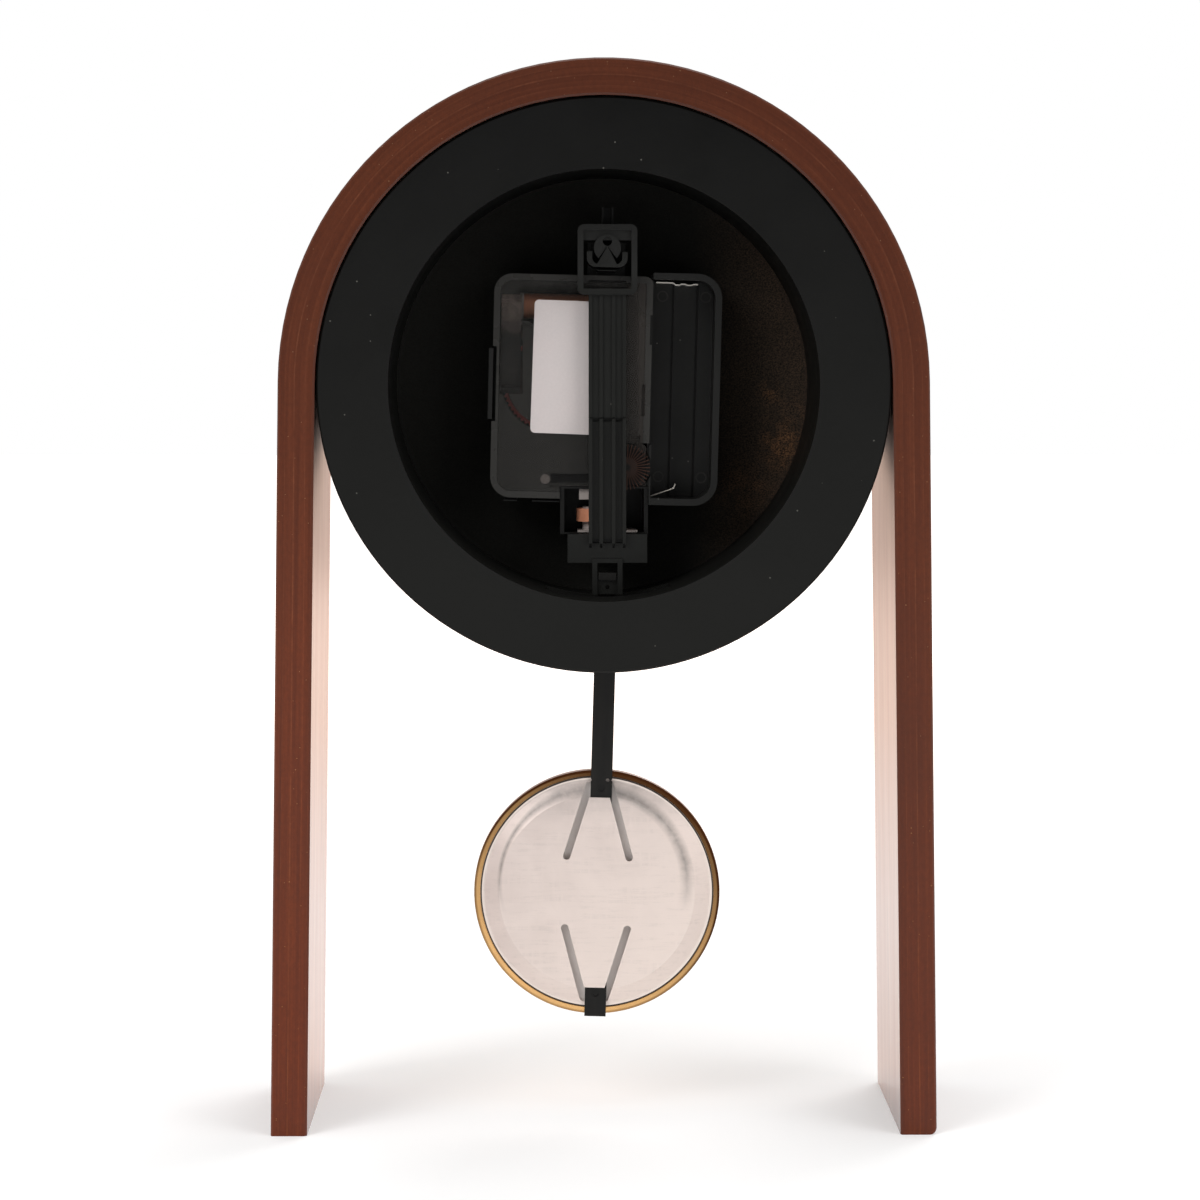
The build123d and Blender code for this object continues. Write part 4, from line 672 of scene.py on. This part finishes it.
def spun_aluminium():
    """The bob's back disc: satin aluminium with soft smudges and hair scratches, and painted light and
    shade: warmer light towards the bottom and -X side, crescents of dark reflection, shade towards the
    top, a highlight ring and a shade line at the rim.
    """
    dull, pale, warm_light_tone = (0.72, 0.615, 0.57), (0.82, 0.71, 0.66), (0.93, 0.8, 0.725)
    hair_tone, crescent_reflection_tone, top_shade_tone = (0.45, 0.39, 0.36), (0.11, 0.105, 0.1), (0.2, 0.19, 0.185)
    edge_highlight_tone, painted_shade_tone = (0.9, 0.8, 0.72), (0.03, 0.02, 0.015)
    disc = Surface("spun aluminium", Metallic=0.3)
    middle_x, middle_z, edge = round_of("bob_back")
    aside, above = disc.minus(disc.x, middle_x), disc.minus(disc.z, middle_z)
    hair = disc.noise(scale=700, detail=5, roughness=0.7, stretch=(0.15, 1, 1.6))
    across_hair = disc.noise(scale=700, detail=5, roughness=0.7, stretch=(1.6, 1, 0.15))
    smudge = disc.noise(scale=60, detail=5, roughness=0.6, distortion=0.8)
    cloudy = disc.spread(disc.noise(scale=230, roughness=0.65), 0.25, 0.7, 0.35, 1.0)
    tone = disc.mix(disc.spread(smudge, 0.3, 0.7), dull, pale)
    # Painted light: warmer towards the bottom and the -X side
    warm = disc.minus(disc.times(aside, -1.0), above)
    tone = disc.mix(disc.spread(warm, -edge, edge, 0.0, 0.6), tone, warm_light_tone)
    weave = disc.times(disc.spread(hair, 0.5, 0.62), disc.spread(across_hair, 0.35, 0.6))
    tone = disc.mix(disc.times(weave, 0.16), tone, hair_tone)
    # Painted reflection: the dark crescents
    band = disc.times(disc_crescents(disc, middle_x, middle_z), cloudy)
    tone = disc.mix(disc.times(band, 0.8), tone, crescent_reflection_tone)
    # Painted shade: darker towards the top
    top = disc.fade(above, disc_top_shade_heights, 0.0, 0.45)
    tone = disc.mix(disc.times(top, cloudy), tone, top_shade_tone)
    # Painted highlight ring near the rim, and painted shade in a thin line at its very edge
    inwards = disc.minus(edge, disc.reach(middle_x, middle_z))
    tone = disc.mix(disc.fade(inwards, disc_highlight_edge, 0.0, 0.7), tone, edge_highlight_tone)
    disc.colour(disc.mix(disc.fade(inwards, disc_edge_shade), tone, painted_shade_tone))
    sheen = disc.spread(smudge, 0.3, 0.75, 0.42, 0.54)
    disc.rough(disc.plus(sheen, disc.spread(hair, 0.3, 0.7, -0.03, 0.04)))
    lines = disc.bump(hair, depth_mm=0.003, strength=0.4)
    disc.bump(smudge, depth_mm=0.05, strength=0.2, below=lines)
    dress(disc, "bob_back")


def bob_brass():
    """Polished brass on the bob's rim and dome, with the pale metal of its inside and painted shade on
    the backward-facing brass, darker towards the top and -X side and along the rim's outside.
    """
    bright, dull, shadow = (0.86, 0.52, 0.22), (0.76, 0.43, 0.17), (0.055, 0.018, 0.006)
    inner_tone = (0.62, 0.56, 0.53)
    brass = Surface("bob brass", Metallic=1.0)
    middle_x, middle_z, edge = round_of("bob_shell")
    reach = brass.reach(middle_x, middle_z)
    behind = brass.math("GREATER_THAN", brass.facing(), -0.3)
    inside = brass.times(brass.math("LESS_THAN", reach, edge - bob_rim * mm), behind)
    lines = brass.noise(scale=500, roughness=0.6, stretch=(0.3, 1, 0.3))
    stain = brass.spread(brass.noise(scale=80, roughness=0.6), 0.35, 0.75)
    gold = brass.mix(stain, bright, dull)
    # Painted shade on the surfaces that face backwards: darker towards the top and the -X side, and in a
    # line at the rim's outside
    aside, above = brass.minus(brass.x, middle_x), brass.minus(brass.z, middle_z)
    lean = brass.minus(above, brass.times(aside, 0.5))
    shade = brass.spread(lean, -edge, edge, 0.06, 0.97)
    outer = brass.fade(brass.minus(edge, reach), bob_outer_shade_edge, 0.0, 0.45)
    shade = brass.times(brass.plus(shade, outer, clamp=True), behind)
    brass.colour(brass.mix(inside, brass.mix(shade, gold, shadow), inner_tone))
    brass.feed(brass.shader.inputs["Metallic"], brass.spread(inside, 0.0, 1.0, 1.0, 0.3))
    brass.rough(brass.spread(lines, 0.25, 0.75, 0.2, 0.34))
    brass.bump(lines, depth_mm=0.004, strength=0.3)
    dress(brass, "bob_shell")


def clear_glass():
    """The lens: clear glass with faint smears."""
    tinted, clear = (0.97, 0.985, 0.98), (1.0, 1.0, 1.0)
    glass = Surface("lens glass", Transmission_Weight=1.0, IOR=1.25)
    smear = glass.noise(scale=40, roughness=0.6)
    glass.colour(glass.mix(smear, tinted, clear))
    glass.rough(glass.spread(smear, 0.4, 0.8, 0.0, 0.03))
    dress(glass, "dial_lens")


def dial_print():
    """The dial's cream paper."""
    cream, pale, fleck = (0.8, 0.76, 0.66), (0.84, 0.81, 0.72), (0.6, 0.56, 0.47)
    paper = Surface("dial print", Roughness=0.5)
    grain = paper.noise(scale=1300, roughness=0.6)
    tone = paper.mix(paper.noise(scale=25, detail=3, roughness=0.5), cream, pale)
    paper.colour(paper.mix(paper.spread(grain, 0.3, 0.7, 0.0, 0.06), tone, fleck))
    paper.bump(grain, depth_mm=0.008, strength=0.3)
    dress(paper, "dial_plate")


def circuit_mask():
    """Brown-grey board with a mat of soldered tracks and pads, pale with parts at its top."""
    dark, dull = (0.003, 0.0028, 0.0025), (0.026, 0.0225, 0.0195)
    parts_tone, pad_tone = (0.33, 0.25, 0.215), (0.2, 0.13, 0.1)
    board = Surface("circuit mask", Roughness=0.45, Coat_Weight=0.2)
    tracks = board.cells(scale=900, randomness=0.7)
    cloud = board.noise(scale=260, roughness=0.65, distortion=1.2)
    base = board.mix(board.spread(cloud, 0.4, 0.6), dark, dull)
    top = board.fade(board.z, board_pale_heights, 0.0, 0.85)
    top = board.times(top, board.spread(cloud, 0.35, 0.6, 0.45, 1.0))
    base = board.mix(top, base, parts_tone)
    some = board.spread(board.noise(scale=120, detail=3, roughness=0.6), 0.5, 0.62)
    pads = board.times(board.spread(tracks, 0.16, 0.1), some)
    board.colour(board.mix(pads, base, pad_tone))
    board.bump(tracks, depth_mm=0.03, strength=0.5)
    dress(board, "circuit_board")


def ink(name, base):
    """Printed or enamelled black."""
    print_ink = Surface(name, Roughness=0.45)
    light = tuple(part + 0.012 for part in base)
    grain = print_ink.noise(scale=1600, detail=3, roughness=0.6)
    print_ink.colour(print_ink.mix(grain, base, light))
    print_ink.bump(grain, depth_mm=0.004, strength=0.3)
    return print_ink


def place_object(name, data):
    """An object of a mesh, curve, lamp or camera, in the scene."""
    piece = bpy.data.objects.new(name, data)
    bpy.context.scene.collection.objects.link(piece)
    return piece


def mesh_object(name, builder, surface, body):
    """A piece from mesh code that rides on a body."""
    mesh = bpy.data.meshes.new(name)
    work = bmesh.new()
    builder(work)
    bmesh.ops.recalc_face_normals(work, faces=work.faces)
    work.to_mesh(mesh)
    work.free()
    mesh.materials.append(surface.material)
    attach(place_object(name, mesh), body)


def walls(work, near, far):
    """The side faces between two rings of corners."""
    for index in range(len(near)):
        after = (index + 1) % len(near)
        work.faces.new((near[index], far[index], far[after], near[after]))


def bob_inner_face(work):
    """The pale inside of the bob's front, close behind the slits of its disc."""
    middle_x, middle_z, disc_radius = round_of("bob_back")
    radius = disc_radius - inner_face_inset * mm
    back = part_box("bob_back")[0].y - inner_face_gap * mm
    turns = [2 * math.pi * index / inner_face_sides for index in range(inner_face_sides)]
    rings = []
    for y in (back, back - inner_face_thickness * mm):
        corners = [(middle_x + radius * math.cos(a), y, middle_z + radius * math.sin(a)) for a in turns]
        rings.append([work.verts.new(corner) for corner in corners])
    work.faces.new(rings[0])
    work.faces.new(list(reversed(rings[1])))
    walls(work, *rings)


def slab(work, middle, width, length, turn):
    """A thin printed bar on the dial's front, its length along the radius."""
    rings = []
    for depth in (0.0, print_height * mm):
        ring = []
        for across_share, along_share in square_shares:
            across = across_share * width
            radius = middle + along_share * length
            x = radius * math.sin(turn) + across * math.cos(turn)
            z = radius * math.cos(turn) - across * math.sin(turn)
            ring.append(work.verts.new((x, dial_front - depth, axis_height + z)))
        rings.append(ring)
    work.faces.new(rings[1])
    work.faces.new(list(reversed(rings[0])))
    walls(work, rings[1], rings[0])


def minute_track(work):
    """Sixty printed ticks, longer and wider at the hours."""
    for minute in range(clock_minutes):
        at_hour = minute % (clock_minutes // clock_hours) == 0
        length = (hour_tick_length if at_hour else tick_length) * mm
        width = (hour_tick_width if at_hour else tick_width) * mm
        turn = 2 * math.pi * minute / clock_minutes
        slab(work, track_radius * mm - length / 2, width, length, turn)


def numerals(surface):
    """The twelve plain dial numbers."""
    for hour in range(1, clock_hours + 1):
        curve = bpy.data.curves.new(f"numeral {hour}", "FONT")
        curve.body = str(hour)
        curve.size = numeral_size * mm
        curve.align_x = "CENTER"
        curve.align_y = "CENTER"
        curve.extrude = print_height * mm / 2
        curve.materials.append(surface.material)
        piece = place_object(f"numeral_{hour}", curve)
        turn = 2 * math.pi * hour / clock_hours
        x = numeral_radius * mm * math.sin(turn)
        z = axis_height + numeral_radius * mm * math.cos(turn)
        piece.location = (x, dial_front - print_height * mm / 2, z)
        piece.rotation_euler = (math.pi / 2, 0, 0)
        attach(piece, "clock")


def floor_material():
    """Pale ground that shows white to the camera, keeps the clock's shadow and mirrors warm ahead."""
    pale, warm_ahead = (0.8, 0.8, 0.8), (0.8, 0.63, 0.54)
    white, warm_gloss = (1.0, 0.995, 0.99), (1.0, 0.69, 0.56)
    ground = Surface("floor", Roughness=0.9, Specular_IOR_Level=0.1)
    ground.colour(ground.mix(ground.spread(ground.y, *floor_warm_ahead), pale, warm_ahead))
    rays = ground.add("ShaderNodeLightPath").outputs
    away = ground.spread(ground.length(ground.x, ground.y), *floor_white_reach, floor_glow, 1.0)
    shown = ground.times(ground.larger(rays["Is Camera Ray"], rays["Is Transmission Ray"]), away)
    ahead = ground.spread(ground.y, *floor_mirror_ahead)
    gloss = ground.spread(ahead, 0.0, 1.0, floor_gloss_glow, floor_front_gloss_glow)
    mirrored = ground.times(rays["Is Glossy Ray"], gloss)
    glow = ground.add("ShaderNodeEmission")
    warm = ground.times(ahead, rays["Is Glossy Ray"])
    ground.feed(glow.inputs["Color"], ground.mix(warm, white, warm_gloss))
    ground.feed(glow.inputs["Strength"], ground.larger(shown, mirrored))
    total = ground.add("ShaderNodeAddShader")
    ground.feed(total.inputs[0], ground.shader.outputs[0])
    ground.feed(total.inputs[1], glow.outputs[0])
    ground.feed(ground.tree.nodes["Material Output"].inputs["Surface"], total.outputs[0])
    return ground.material


def floor():
    """One flat square under the clock."""
    mesh = bpy.data.meshes.new("floor")
    corners = [(2 * x * floor_reach, 2 * y * floor_reach, 0) for x, y in square_shares]
    mesh.from_pydata(corners, [], [(0, 1, 2, 3)])
    mesh.materials.append(floor_material())
    place_object("floor", mesh)


def studio_world():
    """A white surround for what the camera and glass see, and a softer one as light and in gloss."""
    world = bpy.data.worlds.new("studio")
    bpy.context.scene.world = world
    world.use_nodes = True
    sky = Nodes(world.node_tree, "Generated")
    background = sky.tree.nodes["Background"]
    rays = sky.add("ShaderNodeLightPath").outputs
    seen = sky.larger(rays["Is Camera Ray"], rays["Is Transmission Ray"])
    fade = sky.spread(sky.y, *world_fade, 1.0, back_glow)
    glow = sky.blend(rays["Is Glossy Ray"], world_glow, fade)
    sky.feed(background.inputs["Strength"], sky.blend(seen, glow, 1.0))
    warm = sky.times(rays["Is Glossy Ray"], fade)
    sky.feed(background.inputs["Color"], sky.mix(warm, (1.0, 1.0, 1.0), front_tone))


def lights():
    """Square softboxes that face the drum's middle."""
    target = Vector((0, 0, axis_height))
    for name, (place, side, power) in softboxes.items():
        lamp = bpy.data.lights.new(name, "AREA")
        lamp.shape = "SQUARE"
        lamp.size = side
        lamp.energy = power
        piece = place_object(name, lamp)
        piece.location = place
        piece.rotation_euler = (target - Vector(place)).to_track_quat("-Z", "Y").to_euler()


def camera():
    """The camera stands behind the clock, where the photograph was taken from."""
    lens = bpy.data.cameras.new("camera")
    lens.sensor_width = sensor_mm
    lens.sensor_fit = "HORIZONTAL"
    lens.lens = focal_pixels / image_pixels * sensor_mm
    lens.clip_start = clip_start
    piece = place_object("camera", lens)
    tilt, turn = math.radians(camera_tilt_deg), math.radians(camera_turn_deg)
    ahead = Vector((-math.sin(turn) * math.cos(tilt), -math.cos(turn) * math.cos(tilt), -math.sin(tilt)))
    piece.location = camera_place
    piece.rotation_euler = ahead.to_track_quat("-Z", "Y").to_euler()
    bpy.context.scene.camera = piece


def plastics():
    """The moulded pieces, with how rough each one is at least and at most."""
    arm_plastic()
    case_plastic()
    knob_plastic()
    red_wheel()
    smoky_plastic()
    # Painted shade: the housing's black plastic is darker than the case's
    dress(moulded("housing plastic in painted shade", (0.0035, 0.0034, 0.0031), 0.4, 0.52), "drive_housing")
    dress(moulded("bracket plastic", (0.0085, 0.0086, 0.0078), 0.36, 0.5), "hanger_bracket")
    dress(moulded("spacer plastic", (0.02, 0.02, 0.02), 0.5, 0.6), "lens_spacer")
    # Painted shade: the bobbins' white plastic is darkened to grey
    dress(moulded("white plastic in painted shade", (0.33, 0.29, 0.27), 0.35, 0.5), "drive_bobbin", "motor_bobbin")
    rubber = moulded("washer rubber", (0.012, 0.012, 0.012), 0.7, 0.85, grain_mm=0.03, specular=0.25)
    dress(rubber, "rubber_washer")
    white_wheels = ("fourth_wheel", "third_wheel", "centre_wheel", "minute_wheel", "hour_wheel", "rotor")
    dress(moulded("wheel plastic", (0.2, 0.165, 0.14), 0.35, 0.5), *white_wheels)


def metals():
    """The metal pieces, with how rough each one is at least and at most."""
    brass_pieces = ("minute_arbor", "mounting_bush", "mounting_nut", "nut_washer", "hand_nut")
    contact = metal("plated contact", (0.7, 0.67, 0.62), (0.5, 0.46, 0.4), 0.25, 0.4, (1, 0.1, 1))
    can = metal("plated can", (0.65, 0.65, 0.63), (0.5, 0.5, 0.48), 0.2, 0.35, (1, 1, 0.1))
    steel = metal("stamped steel", (0.5, 0.5, 0.49), (0.36, 0.35, 0.33), 0.3, 0.45, (0.1, 1, 1))
    brass = metal("turned brass", (0.78, 0.56, 0.25), (0.6, 0.4, 0.17), 0.18, 0.32, (1, 0.1, 1))
    polish = {"stretch": (0.4, 1, 0.4), "scratch": 600, "lines_mm": 0.002}
    ring = metal("bezel brass", (0.83, 0.62, 0.3), (0.74, 0.52, 0.23), 0.12, 0.22, **polish)
    magnet = metal("sintered magnet", (0.14, 0.14, 0.14), (0.09, 0.09, 0.09), 0.5, 0.65)
    dress(contact, "battery_contact_top", "battery_contact_wire")
    dress(can, "quartz_crystal")
    dress(steel, "motor_core", "motor_stator")
    dress(brass, *brass_pieces)
    dress(ring, "bezel")
    dress(magnet, "rotor_magnet", "pendulum_magnet")
    copper_winding("motor winding", "motor_coil", 0)
    copper_winding("drive winding", "drive_coil", 2)
    blackened_steel()
    spun_aluminium()
    bob_brass()


def added_pieces():
    """What the solids leave to the scene: the dial's print and the bob's pale inside."""
    dial_ink = ink("dial ink", (0.012, 0.011, 0.01))
    mesh_object("minute_track", minute_track, dial_ink, "clock")
    numerals(dial_ink)
    inner_metal = metal("bob inside", (0.96, 0.89, 0.85), (0.84, 0.77, 0.73), 0.45, 0.6)
    inner_metal.shader.inputs["Metallic"].default_value = 0.2
    mesh_object("bob_inner_face", bob_inner_face, inner_metal, "bob")


arch_wood()
drum_paint()
fibreboard()
plastics()
metals()
label_paper()
clear_glass()
dial_print()
circuit_mask()
dress(ink("hand enamel", (0.01, 0.01, 0.01)), "hour_hand", "minute_hand")
added_pieces()
floor()
studio_world()
lights()
camera()
bpy.context.scene.view_settings.view_transform = "Standard"
